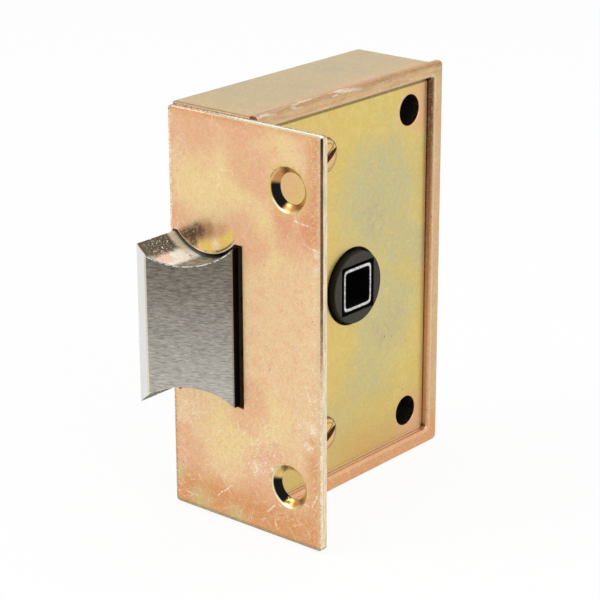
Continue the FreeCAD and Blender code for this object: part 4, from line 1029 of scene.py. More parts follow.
def rounded_box(low, high, radii, steps=7):
    """Points of a rectangle, anticlockwise, with a radius for each corner from the lowest one on."""
    corners = ((low[0], low[1], 1, 1, 180), (high[0], low[1], -1, 1, 270),
               (high[0], high[1], -1, -1, 0), (low[0], high[1], 1, -1, 90))
    points = []
    for (u, v, du, dv, start), radius in zip(corners, radii):
        for n in range(steps + 1):
            turn = math.radians(start + 90 * n / steps)
            points.append((u + radius * (du + math.cos(turn)), v + radius * (dv + math.sin(turn))))
    return points


def inset(points, amount):
    """A closed line moved to its left by an amount, with mitred corners."""
    moved = []
    for n, here in enumerate(points):
        before, after = points[n - 1], points[(n + 1) % len(points)]
        normals = []
        for a, b in ((before, here), (here, after)):
            run = math.hypot(b[0] - a[0], b[1] - a[1]) or 1.0
            normals.append(((a[1] - b[1]) / run, (b[0] - a[0]) / run))
        (ax, ay), (bx, by) = normals
        scale = amount / max(1 + ax * bx + ay * by, 0.3)
        moved.append((here[0] + (ax + bx) * scale, here[1] + (ay + by) * scale))
    return moved


def quarter(radius, steps=5):
    """A quarter of a circle as pairs, the first falling to 0 while the second grows to the radius."""
    turns = [math.radians(90 * n / steps) for n in range(steps + 1)]
    return [(radius * (1 - math.sin(turn)), radius * (1 - math.cos(turn))) for turn in turns]


def eased(radius, thick, steps=4):
    """The edge of a plate from its top to its bottom, as (inset, depth), rounded at both faces."""
    top = quarter(radius, steps)
    return top + [(inwards, thick - depth) for inwards, depth in reversed(top)]


def plate(shape, lines, place, axes):
    """A plate from its lines: an outline and holes, each with its edge; place puts (u, v, depth) in space."""
    tops, bottoms = [], []
    for points, edge, outer in lines:
        rows = []
        for amount, depth in edge:
            moved = inset(points, amount if outer else -amount)
            rows.append(shape.row([place(u, v, depth) for u, v in moved]))
        shape.skin(rows)
        tops.append(rows[0])
        bottoms.append(rows[-1])
    shape.fill(tops, axes)
    shape.fill(bottoms, axes)


def lathe(shape, profile, count):
    """A solid turned about the spindle's axis, from places given as x and radius."""
    rows = [shape.row([(x, *point) for point in circle(radius, count=count)]) for x, radius in profile]
    shape.skin(rows)
    for row in (rows[0], rows[-1]):
        shape.face(row)


def bar(points, low, high, place, axes):
    """A prism tool from a closed line between two depths."""
    shape = Shape()
    rows = [shape.row([place(u, v, depth) for u, v in points]) for depth in (low, high)]
    shape.skin(rows)
    shape.fill([rows[0]], axes)
    shape.fill([rows[1]], axes)
    return shape.piece()


def carve(piece, tools, operation="DIFFERENCE"):
    """Cuts tools out of a piece, or joins them to it, throws the tools away and drops folded faces."""
    for tool in tools:
        step = piece.modifiers.new("carve", "BOOLEAN")
        step.operation = operation
        step.solver = "EXACT"
        step.object = tool
    settle(piece, tools)
    work = bmesh.new()
    work.from_mesh(piece.data)
    bmesh.ops.remove_doubles(work, verts=work.verts[:], dist=1e-7)
    bmesh.ops.triangulate(work, faces=[face for face in work.faces if len(face.verts) > 4])
    groups = {}
    for face in work.faces:
        groups.setdefault(frozenset(face.verts), []).append(face)
    folded = [face for group in groups.values() if len(group) > 1 for face in group]
    bmesh.ops.delete(work, geom=folded, context="FACES")
    work.to_mesh(piece.data)
    work.free()


def settle(piece, tools=()):
    """Makes a piece's modifiers part of its mesh."""
    graph = bpy.context.evaluated_depsgraph_get()
    graph.update()
    mesh = bpy.data.meshes.new_from_object(piece.evaluated_get(graph))
    piece.modifiers.clear()
    old, piece.data = piece.data, mesh
    bpy.data.meshes.remove(old)
    for tool in tools:
        bpy.data.objects.remove(tool)


def in_yz(u, v, x):
    return (x, u, v)


def in_xz(u, v, y):
    return (u, y, v)


# Case

def case_line(grow, mouth=False):
    """The case's outline in y and z, grown by an amount; every such line has the same count of points."""
    s = sizes()
    low = Vector((CASE[0][1], CASE[0][2] + s.rim_flare))
    high = Vector((CASE[1][1] - s.rim_flare, CASE[1][2] - s.rim_flare))
    if mouth:
        shrink = s.rim_width - s.rim_flare
        radii = (0.0, s.mouth_corner, s.mouth_corner, 0.0)
        return rounded_box((low.x, low.y + shrink), (high.x - shrink, high.y - shrink), radii)
    rear = max(s.case_corner + grow, 0.0)
    front = max(s.front_corner + grow, 0.0)
    grow = Vector((grow, grow))
    return rounded_box(low - grow, high + grow, (front, rear, rear, front))


def build_case():
    """The pressed tray with its rolled rim."""
    s = sizes()
    shape = Shape()
    back, floor = CASE[0][0], CASE[0][0] + s.sheet

    # The tray: outside up to the front wall's top, over it and down to the floor
    top, edge = -s.front_wall_top, 0.12 * MM
    section = [(-inwards, back + depth) for inwards, depth in quarter(s.back_edge)]
    section += [(0, top - 0.15 * MM), (-edge, top), (edge - s.sheet, top), (-s.sheet, top - 0.15 * MM)]
    section += [(-s.sheet - inwards, floor + height) for height, inwards in quarter(FLOOR_FILLET)]
    rows = [shape.row(in_yz(u, v, x) for u, v in case_line(grow)) for grow, x in section]
    shape.skin(rows)

    # Holes in the back for the journal, the tubes and the riveted ends
    holes = [circle(s.journal + 0.08 * MM)]
    for side in (1, -1):
        holes.append(circle(s.fixing_hole + TUBE_SPIGOT, (s.fixing_y, side * s.fixing_z), 40))
        holes.append(circle(s.screw_shank, (s.screw_y, side * s.screw_z), 28))
    holes += [circle(PIN_RADIUS, place, 28) for place in PIN_ENDS]
    holes += [circle(RIVET_RADIUS, place, 24) for place in BRACKET_RIVETS]
    outside, inside = [rows[0]], [rows[-1]]
    for hole in holes:
        pair = [shape.row(in_yz(u, v, x) for u, v in hole) for x in (back, floor)]
        shape.skin(pair)
        outside.append(pair[0])
        inside.append(pair[1])
    shape.fill(outside, (1, 2))
    shape.fill(inside, (1, 2))
    tray = shape.piece()

    # The bolt's slot and the studs' holes through the front wall
    wall = (CASE[0][1] - 1 * MM, CASE[0][1] + s.sheet + 1 * MM)
    lines = [slot_line()] + [circle(PIN_RADIUS, (BOLT_MIDDLE, side * STUD_HEIGHT), 28) for side in (1, -1)]
    carve(tray, [bar(line, *wall, in_xz, (0, 2)) for line in lines])

    # The rim: up the outside, out over the flare, across the face and down the mouth
    shape = Shape()
    shape.skin(lay_rim(shape))
    parts = (tray, shape.piece())
    shape = Shape()
    for part in parts:
        shape.mesh.from_mesh(part.data)
        bpy.data.objects.remove(part)
    dress(shape.piece("case_shell", weld=2e-7), "case", "case_plating", "case")


def rim_section(low, cut=None):
    """The rim's section: shares of the way from wall to lip and from lip to mouth, an inset and a height."""
    s = sizes()
    edge, mouth = s.rim_edge, s.mouth_edge
    width = s.rim_width
    places = [(0.0, 0.0, 0.0, low)]
    for share, rise in ((0.0, -0.5), (0.15, -0.12), (0.6, -0.02), (1.0, 0.15)):
        places.append((share, 0.0, 0.0, rise * MM - s.rim_lip))
    places += [(1.0, 0.0, inwards, -depth - s.rim_bulge) for depth, inwards in quarter(edge)]
    start, end = edge / width, 1 - mouth / width
    for n in range(1, 7):
        share = n / 7
        dome = s.rim_bulge * (1 - (2 * share - 1) ** 2)
        places.append((1.0, start + (end - start) * share, 0.0, dome - s.rim_bulge))
    for n in range(8):
        turn = math.radians(90 * n / 7)
        places.append((1.0, 1 - mouth * (1 - math.sin(turn)) / width, 0.0,
                       -mouth * (1 - math.cos(turn)) - s.rim_bulge * math.cos(turn)))
    inner = (s.sheet + s.rim_flare) / width
    places += [(1.0, 1.0, 0.0, -s.rim_roll + 0.3 * MM), (1.0, 1 - 0.3 * MM / width, 0.0, -s.rim_roll),
               (1.0, inner, 0.0, -s.rim_roll), (1.0, inner, 0.0, low)]
    if cut is not None:
        places = [(*place, min(height, cut)) for *place, height in places]
    return places


def lay_rim(shape):
    """The rim's rows, along the outline from the lower front corner round the rear to the upper one."""
    s = sizes()
    front = CASE[0][1]
    low = -s.front_wall_top
    wall, mouth = case_line(0), case_line(0, mouth=True)
    grown = s.rim_flare
    lip = rounded_box(
        (CASE[0][1] - grown, CASE[0][2]), (CASE[1][1], CASE[1][2]), (0.0, s.rim_corner, s.rim_corner, 0.0))
    count = len(wall) // 4
    ys = [front + s.rim_gap, front + s.rim_gap]
    ys += [front + s.flare_start + s.flare_run * n / 8 for n in range(9)] + [0.0, 14 * MM]
    line = []
    for corner in range(4):
        for n in range(corner * count, corner * count + count):
            turn = math.radians(180 + 90 * corner + 90 * (n - corner * count) / (count - 1))
            away = Vector((math.cos(turn), math.sin(turn)))
            line.append((Vector(wall[n]), Vector(lip[n]), Vector(mouth[n]), away, corner in (0, 3)))
        if corner in (0, 2):
            side = -1 if corner == 0 else 1
            for k, y in enumerate(ys if side < 0 else ys[::-1]):
                first = k == (0 if side < 0 else len(ys) - 1)
                line.append((Vector((y, wall[count][1] * -side)), Vector((y, lip[count][1] * -side)),
                             Vector((y, mouth[count][1] * -side)), Vector((0, side)), first))
    rows = []
    for on_wall, on_lip, on_mouth, away, end in line:
        share = min(max((on_wall.x - front - s.flare_start) / s.flare_run, 0.0), 1.0)
        share = share * share * (3 - 2 * share)
        if share < 1:
            on_lip = on_wall + away * s.rim_flare * share
            on_mouth = Vector((on_wall.x, on_mouth.y))
        rows.append(shape.row(
            in_yz(*(on_wall.lerp(on_lip, grow).lerp(on_mouth, across) - away * inwards), height)
            for grow, across, inwards, height in rim_section(low, -1.6 * MM if end else None)))
    shape.face(rows[0])
    shape.face(rows[-1])
    return rows


# Forend and cover

def slot_line():
    """The outline of the bolt's slot, anticlockwise: a box whose ends bulge into the bolt's hollows."""
    s = sizes()
    left, right = BOLT[0][0] - s.slot_gap, BOLT[1][0] + s.slot_side
    half = BOLT[1][2] + s.slot_gap
    centre = hollow_centre()
    radius = s.hollow - s.slot_bulge
    reach = math.sqrt(radius ** 2 - (centre - half) ** 2)
    turns = [math.asin(reach / radius) * (1 - 2 * n / 24) for n in range(25)]
    arc = [(BOLT_MIDDLE + radius * math.sin(turn), centre - radius * math.cos(turn)) for turn in turns]
    upper = [(right, half), *arc, (left, half)]
    lower = [(u, -v) for u, v in reversed(upper)]
    return upper + lower


def build_forend():
    """The plate across the front, with the bolt's slot and two countersunk holes."""
    s = sizes()
    thick = FOREND[1][1] - FOREND[0][1]
    front = FOREND[0][1]
    low, high = ((corner[0], corner[2]) for corner in FOREND)
    outline = rounded_box(low, high, [s.forend_corner] * 4, 6)
    lines = [(outline, eased(s.forend_edge, thick), True),
             (slot_line(), eased(0.14 * MM, thick, 3), False)]
    sink = s.forend_sink - s.forend_hole
    edge = [(sink + 0.12 * MM, 0.0), (sink + 0.03 * MM, 0.03 * MM), (sink - 0.08 * MM, 0.1 * MM),
            (0.08 * MM, sink - 0.1 * MM), (0.0, sink), (0.0, thick - 0.12 * MM), (0.1 * MM, thick)]
    for side in (1, -1):
        lines.append((circle(s.forend_hole, (s.forend_hole_x, side * s.forend_hole_z), 64), edge, False))
    shape = Shape()
    plate(shape, lines, lambda u, v, depth: (u, front + depth, v), (0, 2))
    dress(shape.piece("forend_plate"), "case", "forend_plating", "forend")


def build_cover():
    """The plate in the case's mouth, with holes for the follower, the tubes and the screws."""
    s = sizes()
    face, thick = COVER[1][0], COVER[1][0] - COVER[0][0]
    grown = s.cover_grown
    outline = rounded_box((COVER[0][1], COVER[0][2] - grown), (COVER[1][1] + grown / 2, COVER[1][2] + grown),
                          (0.3 * MM, s.cover_corner, s.cover_corner, 0.3 * MM), 6)
    edge = eased(s.cover_edge, thick)
    lines = [(outline, edge, True), (circle(s.boss_hole, count=96), edge, False)]
    for side in (1, -1):
        lines.append((circle(s.fixing_hole, (s.fixing_y, side * s.fixing_z), 56), edge, False))
        hole = circle(s.screw_shank, (s.screw_y, side * s.screw_z), 28)
        lines.append((hole, eased(0.1 * MM, thick, 2), False))
    shape = Shape()
    plate(shape, lines, lambda u, v, depth: (face - depth, u, v), (1, 2))
    dress(shape.piece("cover_sheet"), "case", "cover_plating", "cover_plate")


# Bolt

def build_bolt():
    """The bevelled head, hollow along its top and underside, slit and drilled for the tail."""
    s = sizes()
    left, right, half = BOLT[0][0], BOLT[1][0], BOLT[1][2]
    centre = hollow_centre()
    nose, rear = BOLT[0][1], BOLT[1][1]
    bevel = FOREND[0][1] - s.bevel_stop
    count = 40
    columns = sorted({left + (right - left) * n / count for n in range(count + 1)} | {left + s.nose_flat})

    def top(x):
        return min(centre - math.sqrt(max(s.hollow ** 2 - (x - BOLT_MIDDLE) ** 2, 0)), half)

    def front(x):
        return nose + max(x - left - s.nose_flat, 0) / (right - left - s.nose_flat) * (bevel - nose)

    shape = Shape()
    heights = 12
    rows = []
    for x in columns:
        ring = [(x, front(x), top(x) * (1 - 2 * n / heights)) for n in range(heights + 1)]
        ring += [(x, rear, -top(x) * (1 - 2 * n / heights)) for n in range(heights + 1)]
        rows.append(shape.row(ring))
    shape.skin(rows)
    for row in (rows[0], rows[-1]):
        for n in range(heights):
            shape.face([row[n], row[n + 1], row[-2 - n], row[-1 - n]])
    head = shape.piece()
    bend = head.modifiers.new("edges", "BEVEL")
    bend.width = s.bolt_edge
    bend.segments = 3
    bend.limit_method = "ANGLE"
    bend.angle_limit = math.radians(24)
    settle(head)
    across = (BOLT_MIDDLE - s.tail_thick / 2, BOLT_MIDDLE + s.tail_thick / 2)
    corners = [(across[n], up * s.tongue_half) for n, up in ((0, -1), (1, -1), (1, 1), (0, 1))]
    tools = [bar(corners, rear - s.tongue_length, rear + 1 * MM, in_xz, (0, 2))]
    for side in (1, -1):
        hole = circle(s.tail_rivet, (rear - 5.5 * MM, side * 6 * MM), 28)
        tools.append(bar(hole, left - 1 * MM, right + 1 * MM, in_yz, (1, 2)))
    carve(head, tools)
    head.name = "bolt_head"
    dress(head, "bolt", "bolt_steel", "latch_bolt", sharp=40)


# Follower and sleeve

def arm_line():
    """The lifting arm's outline: an involute flank, the arm's tip and its root."""
    push, start = 14.0 * MM, 1.5 * MM
    points = []
    for n in range(13):
        turned = (sizes().throw / push + math.radians(3)) * n / 12
        reach = push * (start / push + turned)
        points.append((reach * math.cos(turned) - push * math.sin(turned),
                       reach * math.sin(turned) + push * math.cos(turned)))
    return points + [(-4.6 * MM, 17.6 * MM), (-6.0 * MM, 7.0 * MM), (start, 7.0 * MM)]


def square_line(half, corner, steps):
    """A square about the axis with rounded corners."""
    return rounded_box((-half, -half), (half, half), [corner] * 4, steps)


def build_follower():
    """The hub with its boss, journal and lifting arm, and the square hole for the sleeve."""
    s = sizes()
    low, high = FOLLOWER[0][0], FOLLOWER[1][0]
    heel, tip = CASE[0][0] + s.sheet + 0.2 * MM, COVER[0][0] - 0.2 * MM
    ease = 0.3 * MM
    profile = [(low, s.journal - ease), (low + ease, s.journal), (heel, s.journal), (heel, s.hub - ease),
               (heel + ease, s.hub), (tip - ease, s.hub), (tip, s.hub - ease), (tip, s.boss)]
    profile += [(high - depth, s.boss - inwards) for depth, inwards in quarter(s.boss_edge)]
    shape = Shape()
    lathe(shape, profile, 96)
    hub = shape.piece()
    carve(hub, [bar(arm_line(), BOLT_MIDDLE - 4 * MM, BOLT_MIDDLE + 4 * MM, in_yz, (1, 2))], "UNION")
    square = square_line(s.sleeve_outer, s.sleeve_corner, 6)
    pocket = square_line(s.pocket, 0.35 * MM, 4)
    carve(hub, [bar(square, low - 1 * MM, high + 1 * MM, in_yz, (1, 2))])
    carve(hub, [bar(pocket, high - s.pocket_depth, high + 1 * MM, in_yz, (1, 2))])
    hub.name = "follower_hub"
    dress(hub, "follower", "follower_nylon", "follower")


def build_sleeve():
    """The square tube in the follower."""
    s = sizes()
    face, thick = SLEEVE[1][0], SLEEVE[1][0] - SLEEVE[0][0]
    edge = eased(0.16 * MM, thick, 3)
    lines = [(square_line(s.sleeve_outer, s.sleeve_corner, 6), edge, True),
             (square_line(s.sleeve_inner, 0.15 * MM, 3), edge, False)]
    shape = Shape()
    plate(shape, lines, lambda u, v, depth: (face - depth, u, v), (1, 2))
    dress(shape.piece("sleeve_square"), "follower", "sleeve_steel", "spindle_sleeve")


# Geometry Nodes for what repeats

class Growth(Graph):
    """A Geometry Nodes tree under construction, with named inputs for its sizes and its material."""

    def __init__(self, name, **inputs):
        super().__init__(bpy.data.node_groups.new(name, "GeometryNodeTree"))
        self.tree.interface.new_socket("Geometry", in_out="OUTPUT", socket_type="NodeSocketGeometry")
        self.values, self.keys = inputs, {}
        for title, default in inputs.items():
            kind = "Material" if title == "material" else "Int" if isinstance(default, int) else "Float"
            socket = self.tree.interface.new_socket(title, in_out="INPUT", socket_type="NodeSocket" + kind)
            self.keys[title] = socket.identifier
            if kind != "Material":
                socket.default_value = default
        given = self.tree.nodes.new("NodeGroupInput").outputs
        wires = {title: Wire(self, self.find(given, key)) for title, key in self.keys.items()}
        self.size = SimpleNamespace(**wires)

    def place(self):
        """The x, y and z of each point of a mesh or curve."""
        return self.split(self.node("GeometryNodeInputPosition"))

    def vector(self, x=0.0, y=0.0, z=0.0):
        return self.node("ShaderNodeCombineXYZ", {}, {0: x, 1: y, 2: z})

    def cylinder(self, radius, height, count, levels=1, rings=1):
        return self.node("GeometryNodeMeshCylinder", {}, {
            "Vertices": count, "Side Segments": levels, "Fill Segments": rings, "Radius": radius,
            "Depth": height})

    def rod(self, radius, low, high, count):
        """A cylinder along z between two heights."""
        return self.moved(self.cylinder(radius, high - low, count), self.vector(z=(high + low) * 0.5))

    def moved(self, geometry, offset, turn=(0.0, 0.0, 0.0)):
        return self.node("GeometryNodeTransform", {}, {
            "Geometry": geometry, "Translation": offset, "Rotation": turn})

    def bent(self, geometry, socket, vector):
        """Gives each point a new position or an offset."""
        return self.node("GeometryNodeSetPosition", {}, {"Geometry": geometry, socket: vector})

    def joined(self, *parts):
        return self.node("GeometryNodeJoinGeometry", {}, {"Geometry": list(reversed(parts))})

    def combined(self, operation, values):
        return self.node("GeometryNodeMeshBoolean", {"operation": operation, "solver": "EXACT"}, values)

    def grown(self, geometry, name, slot, node):
        """Ends the tree on a geometry, runs it and makes the result a plain piece of the case's body."""
        real = self.node("GeometryNodeRealizeInstances", {}, {"Geometry": geometry})
        self.end("NodeGroupOutput", self.node("GeometryNodeSetMaterial", {}, {
            "Geometry": real, "Material": self.size.material}))
        piece = bpy.data.objects.new(name, bpy.data.meshes.new(name))
        bpy.context.scene.collection.objects.link(piece)
        step = piece.modifiers.new(name, "NODES")
        step.node_group = self.tree
        for title, value in self.values.items():
            step[self.keys[title]] = value
        settle(piece)
        piece.data.name = name
        return dress(piece, "case", slot, node)


RIGHT_ANGLE = math.pi / 2


def build_screws():
    """Two domed, slotted screws with threads, from one tree."""
    s = sizes()
    tree = Growth("slotted_screws", head=s.screw_head, dome=s.screw_dome, slot=s.screw_slot,
                  deep=s.screw_slot_depth, shank=s.screw_shank, reach=s.screw_length, turn=s.screw_turn,
                  y=s.screw_y, z=s.screw_z, seat=COVER[1][0], material=finish("screw_plating"))
    size = tree.size
    disc = tree.cylinder(size.head, size.dome, 48, 4, 10)
    x, y, z = tree.place()
    out = tree.node("ShaderNodeVectorMath", {"operation": "LENGTH"}, {0: tree.vector(x, y)}, "Value")
    drop = (out / size.head) ** 2.6 * (size.dome * 0.62) * (z / size.dome + 0.5)
    head = tree.bent(disc, "Offset", tree.vector(z=drop * -1))
    head = tree.moved(head, tree.vector(z=size.dome * 0.5))
    groove = tree.node("GeometryNodeMeshCube", {}, {
        "Size": tree.vector(size.slot, size.head * 3, size.deep * 2)})
    groove = tree.moved(groove, tree.vector(z=size.dome))
    head = tree.combined("DIFFERENCE", {"Mesh 1": head, "Mesh 2": groove})
    core = tree.cylinder(size.shank, size.reach, 28, 60)
    x, y, z = tree.place()
    pinch = (z * (math.tau / THREAD_PITCH)).sine() * THREAD_DEPTH - THREAD_DEPTH
    core = tree.bent(core, "Offset", tree.vector(x * pinch, y * pinch))
    core = tree.moved(core, tree.vector(z=size.reach * -0.5))
    upright = tree.moved(tree.joined(head, core), (0, 0, 0), (0, RIGHT_ANGLE, 0))
    lower, upper = (tree.moved(upright, tree.vector(size.seat, size.y, height), tree.vector(size.turn))
                    for height in (size.z * -1, size.z))
    pair = tree.joined(upper, lower)
    pair = tree.node("GeometryNodeMergeByDistance", {}, {"Geometry": pair, "Distance": 1e-6})
    tree.grown(pair, "cover_screw_pair", "screw_plating", "cover_screws")


def build_tubes():
    """The two fixing tubes with their riveted ends."""
    s = sizes()
    for word, side in (("upper", 1), ("lower", -1)):
        tree = Growth("fixing_tube", bore=s.fixing_hole, wall=TUBE_WALL, spigot=TUBE_SPIGOT, back=TUBE[0][0],
                      floor=CASE[0][0] + s.sheet, top=TUBE[1][0], y=s.fixing_y, z=side * s.fixing_z,
                      material=finish("tube_steel"))
        size = tree.size
        barrel = tree.rod(size.bore + size.wall, size.floor, size.top, 56)
        spigot = tree.rod(size.bore + size.spigot, size.back, size.floor + 0.2 * MM, 56)
        bore = tree.rod(size.bore, size.back - 1 * MM, size.top + 1 * MM, 56)
        whole = tree.combined("UNION", {"Mesh 2": [barrel, spigot]})
        tube = tree.combined("DIFFERENCE", {"Mesh 1": whole, "Mesh 2": bore})
        tube = tree.moved(tree.moved(tube, (0, 0, 0), (0, RIGHT_ANGLE, 0)), tree.vector(0.0, size.y, size.z))
        tree.grown(tube, f"fixing_tube_{word}_turned", "tube_steel", f"fixing_tube_{word}")


def build_spring():
    """The latch spring: a wire wound round its rod, with closed end turns."""
    s = sizes()
    low, high = SPRING
    middle = [(a + b) / 2 for a, b in zip(low, high)]
    tree = Growth("wound_spring", wire=s.spring_wire, coil=(high[0] - low[0] - s.spring_wire) / 2,
                  reach=high[1] - low[1] - s.spring_wire, turns=s.spring_turns, x=middle[0],
                  y=high[1] - s.spring_wire / 2, z=middle[2], material=finish("spring_steel"))
    size = tree.size
    line = tree.node("GeometryNodeCurveSpiral", {}, {
        "Resolution": 28, "Rotations": size.turns, "Start Radius": size.coil, "End Radius": size.coil,
        "Height": size.reach})
    x, y, z = tree.place()
    turn = z / (size.reach / size.turns)
    closed = turn.smaller(1.0) + (turn - (size.turns - 1.0)).larger(0.0)
    open_turns = size.turns - 2.0
    pitch = (size.reach - size.wire * 2.0) / open_turns
    height = closed * size.wire + (turn - 1.0).larger(0.0).smaller(open_turns) * pitch
    line = tree.bent(line, "Position", tree.vector(x, y, height))
    ring = tree.node("GeometryNodeCurvePrimitiveCircle", {}, {"Resolution": 12, "Radius": size.wire * 0.5})
    wire = tree.node("GeometryNodeCurveToMesh", {}, {"Curve": line, "Profile Curve": ring, "Fill Caps": True})
    wound = tree.moved(wire, tree.vector(size.x, size.y, size.z), (RIGHT_ANGLE, 0, 0))
    spring = tree.grown(wound, "latch_spring_wound", "spring_steel", "latch_spring")
    loose = high[1] - low[1]
    (loose - s.throw) / loose
    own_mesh(spring)


KEPT = {
    "forend_studs": "rivet_steel", "forend_nuts": "tail_steel", "cover_post_upper": "pin_steel",
    "cover_post_lower": "pin_steel", "bolt_tail": "tail_steel", "bolt_tail_rivets": "rivet_steel",
    "guide_pin_front": "pin_steel", "guide_pin_rear": "pin_steel", "guide_pin_clips": "clip_steel",
    "follower_stop_pin": "pin_steel", "rod_bracket": "bracket_steel", "rod_bracket_rivets": "rivet_steel",
    "spring_guide_rod": "pin_steel",
}


def finish_kept():
    """Gives the pieces that keep the frame's shape their finishes."""
    for name, slot in KEPT.items():
        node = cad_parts[name]
        for n in range(max(len(node.material_slots), 1)):
            if n < len(node.material_slots):
                node.material_slots[n].material = finish(slot)
            else:
                node.data.materials.append(finish(slot))


# Stage

FLOOR_SIDE = 6.0
PAPER = (0.97, 0.97, 0.97, 1)
FLOOR_GLOW = 0.92
ROOM_LIGHT = 0.55
LAMPS = (
    ("key_lamp", (-0.55, -0.75, 0.75), 0.7, 4.2),
    ("side_lamp", (0.95, -0.25, 0.45), 0.8, 3.6),
    ("top_lamp", (0.1, 0.25, 1.05), 0.8, 2.4),
)
CAMERA_PLACE = (0.284288, -0.358472, 0.159073)
CAMERA_TURN, CAMERA_FALL, CAMERA_ROLL = 40.051, 19.505, -0.169
CAMERA_LENS = 130.02


def white_where_seen(graph, own, white, share):
    """Mixes a share of a white shader over another one for camera, glossy and transmission rays."""
    path = graph.node("ShaderNodeLightPath").socket.node.outputs
    rays = highest(*(Wire(graph, path[f"Is {kind} Ray"]) for kind in ("Camera", "Glossy", "Transmission")))
    return graph.node("ShaderNodeMixShader", {}, {0: rays * share, 1: own, 2: white})


def build_stage():
    """A white floor in a white room, three lamps and the photograph's camera."""
    scene = bpy.context.scene
    scene.view_settings.view_transform = "Standard"
    mesh = bpy.data.meshes.new("floor")
    corners = [(x * FLOOR_SIDE, y * FLOOR_SIDE, CAD_BOX[0][2])
               for x, y in ((-1, -1), (1, -1), (1, 1), (-1, 1))]
    mesh.from_pydata(corners, [], [(0, 1, 2, 3)])
    floor = bpy.data.objects.new("floor", mesh)
    scene.collection.objects.link(floor)
    white = bpy.data.materials.new("floor_white")
    white.use_nodes = True
    graph = Graph(white.node_tree)
    paper = graph.node("ShaderNodeBsdfDiffuse", {}, {"Color": PAPER})
    glow = graph.node("ShaderNodeEmission", {}, {"Strength": 1.0})
    graph.end("ShaderNodeOutputMaterial", white_where_seen(graph, paper, glow, FLOOR_GLOW))
    mesh.materials.append(white)

    scene.world = bpy.data.worlds.new("studio")
    scene.world.use_nodes = True
    graph = Graph(scene.world.node_tree)
    room, backdrop = (graph.node("ShaderNodeBackground", {}, {"Color": (1, 1, 1, 1), "Strength": strength})
                      for strength in (ROOM_LIGHT, 1.0))
    graph.end("ShaderNodeOutputWorld", white_where_seen(graph, room, backdrop, 1.0))

    for name, place, side, power in LAMPS:
        lamp = bpy.data.lights.new(name, "AREA")
        lamp.shape = "SQUARE"
        lamp.size = side
        lamp.energy = power
        thing = bpy.data.objects.new(name, lamp)
        thing.location = place
        thing.rotation_euler = (-Vector(place)).to_track_quat("-Z", "Y").to_euler()
        scene.collection.objects.link(thing)

    camera = bpy.data.cameras.new("camera")
    camera.lens = CAMERA_LENS
    camera.sensor_width = 36.0
    camera.sensor_fit = "HORIZONTAL"
    camera.clip_start = 0.02
    view = bpy.data.objects.new("camera", camera)
    turns = ((CAMERA_TURN, "Z"), (90 - CAMERA_FALL, "X"), (CAMERA_ROLL, "Z"))
    turn, fall, roll = (Matrix.Rotation(math.radians(angle), 3, axis) for angle, axis in turns)
    view.rotation_euler = (turn @ fall @ roll).to_euler()
    view.location = CAMERA_PLACE
    scene.collection.objects.link(view)
    scene.camera = view


# Operators, panel and registration

class LATCH_OT_stage(bpy.types.Operator):
    """Makes the floor, the room, the lamps and the camera"""
    bl_idname = "latch.stage"
    bl_label = "Stage"

    def execute(self, context):
        build_stage()
        return {"FINISHED"}


class LATCH_OT_case(bpy.types.Operator):
    """Makes the pressed case with its rolled rim"""
    bl_idname = "latch.case"
    bl_label = "Case"

    def execute(self, context):
        build_case()
        return {"FINISHED"}


class LATCH_OT_forend(bpy.types.Operator):
    """Makes the plate across the front"""
    bl_idname = "latch.forend"
    bl_label = "Forend"

    def execute(self, context):
        build_forend()
        return {"FINISHED"}


class LATCH_OT_cover(bpy.types.Operator):
    """Makes the plate let into the case's mouth"""
    bl_idname = "latch.cover"
    bl_label = "Cover"

    def execute(self, context):
        build_cover()
        return {"FINISHED"}


class LATCH_OT_bolt(bpy.types.Operator):
    """Makes the bevelled bolt head"""
    bl_idname = "latch.bolt"
    bl_label = "Bolt"

    def execute(self, context):
        build_bolt()
        return {"FINISHED"}


class LATCH_OT_follower(bpy.types.Operator):
    """Makes the nylon follower"""
    bl_idname = "latch.follower"
    bl_label = "Follower"

    def execute(self, context):
        build_follower()
        return {"FINISHED"}


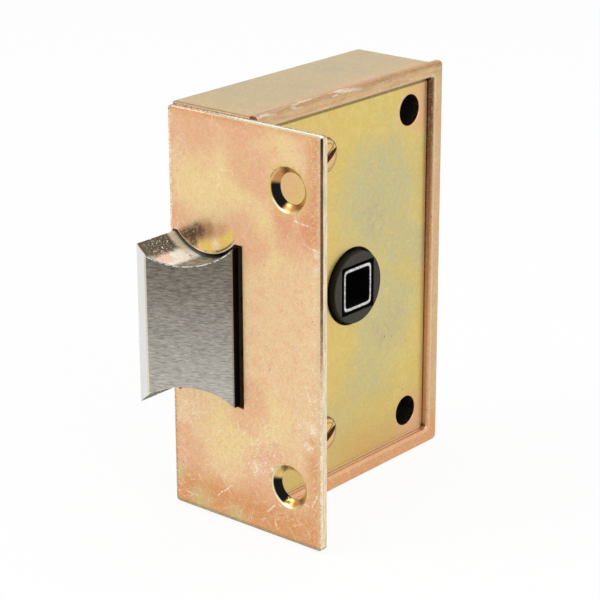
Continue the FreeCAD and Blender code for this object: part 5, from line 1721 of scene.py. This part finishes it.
class LATCH_OT_sleeve(bpy.types.Operator):
    """Makes the square sleeve for the spindle"""
    bl_idname = "latch.sleeve"
    bl_label = "Sleeve"

    def execute(self, context):
        build_sleeve()
        return {"FINISHED"}


class LATCH_OT_screws(bpy.types.Operator):
    """Makes the two slotted screws of the cover"""
    bl_idname = "latch.screws"
    bl_label = "Cover screws"

    def execute(self, context):
        build_screws()
        return {"FINISHED"}


class LATCH_OT_tubes(bpy.types.Operator):
    """Makes the two fixing tubes"""
    bl_idname = "latch.tubes"
    bl_label = "Fixing tubes"

    def execute(self, context):
        build_tubes()
        return {"FINISHED"}


class LATCH_OT_spring(bpy.types.Operator):
    """Makes the wound latch spring"""
    bl_idname = "latch.spring"
    bl_label = "Latch spring"

    def execute(self, context):
        build_spring()
        return {"FINISHED"}


class LATCH_OT_inner(bpy.types.Operator):
    """Gives the pieces inside the case their finishes"""
    bl_idname = "latch.inner"
    bl_label = "Inner pieces"

    def execute(self, context):
        finish_kept()
        return {"FINISHED"}


OPERATORS = (
    LATCH_OT_stage, LATCH_OT_case, LATCH_OT_forend, LATCH_OT_cover, LATCH_OT_bolt, LATCH_OT_follower,
    LATCH_OT_sleeve, LATCH_OT_screws, LATCH_OT_tubes, LATCH_OT_spring, LATCH_OT_inner,
)


class LATCH_PT_pieces(bpy.types.Panel):
    """Lists the latch's pieces."""
    bl_idname = "LATCH_PT_pieces"
    bl_label = "Rim latch"
    bl_space_type = "VIEW_3D"
    bl_region_type = "UI"
    bl_category = "Rim latch"

    def draw(self, context):
        for piece in OPERATORS:
            self.layout.operator(piece.bl_idname)


CLASSES = (LatchSizes, LatchColours, *OPERATORS, LATCH_PT_pieces)


def register():
    for item in CLASSES:
        bpy.utils.register_class(item)
    bpy.types.Scene.latch_sizes = PointerProperty(type=LatchSizes)
    bpy.types.Scene.latch_colours = PointerProperty(type=LatchColours)


def unregister():
    del bpy.types.Scene.latch_colours
    del bpy.types.Scene.latch_sizes
    for item in reversed(CLASSES):
        bpy.utils.unregister_class(item)


def main():
    register()
    for piece in OPERATORS:
        getattr(bpy.ops.latch, piece.bl_idname.split(".")[1])()


if __name__ == "__main__":
    main()
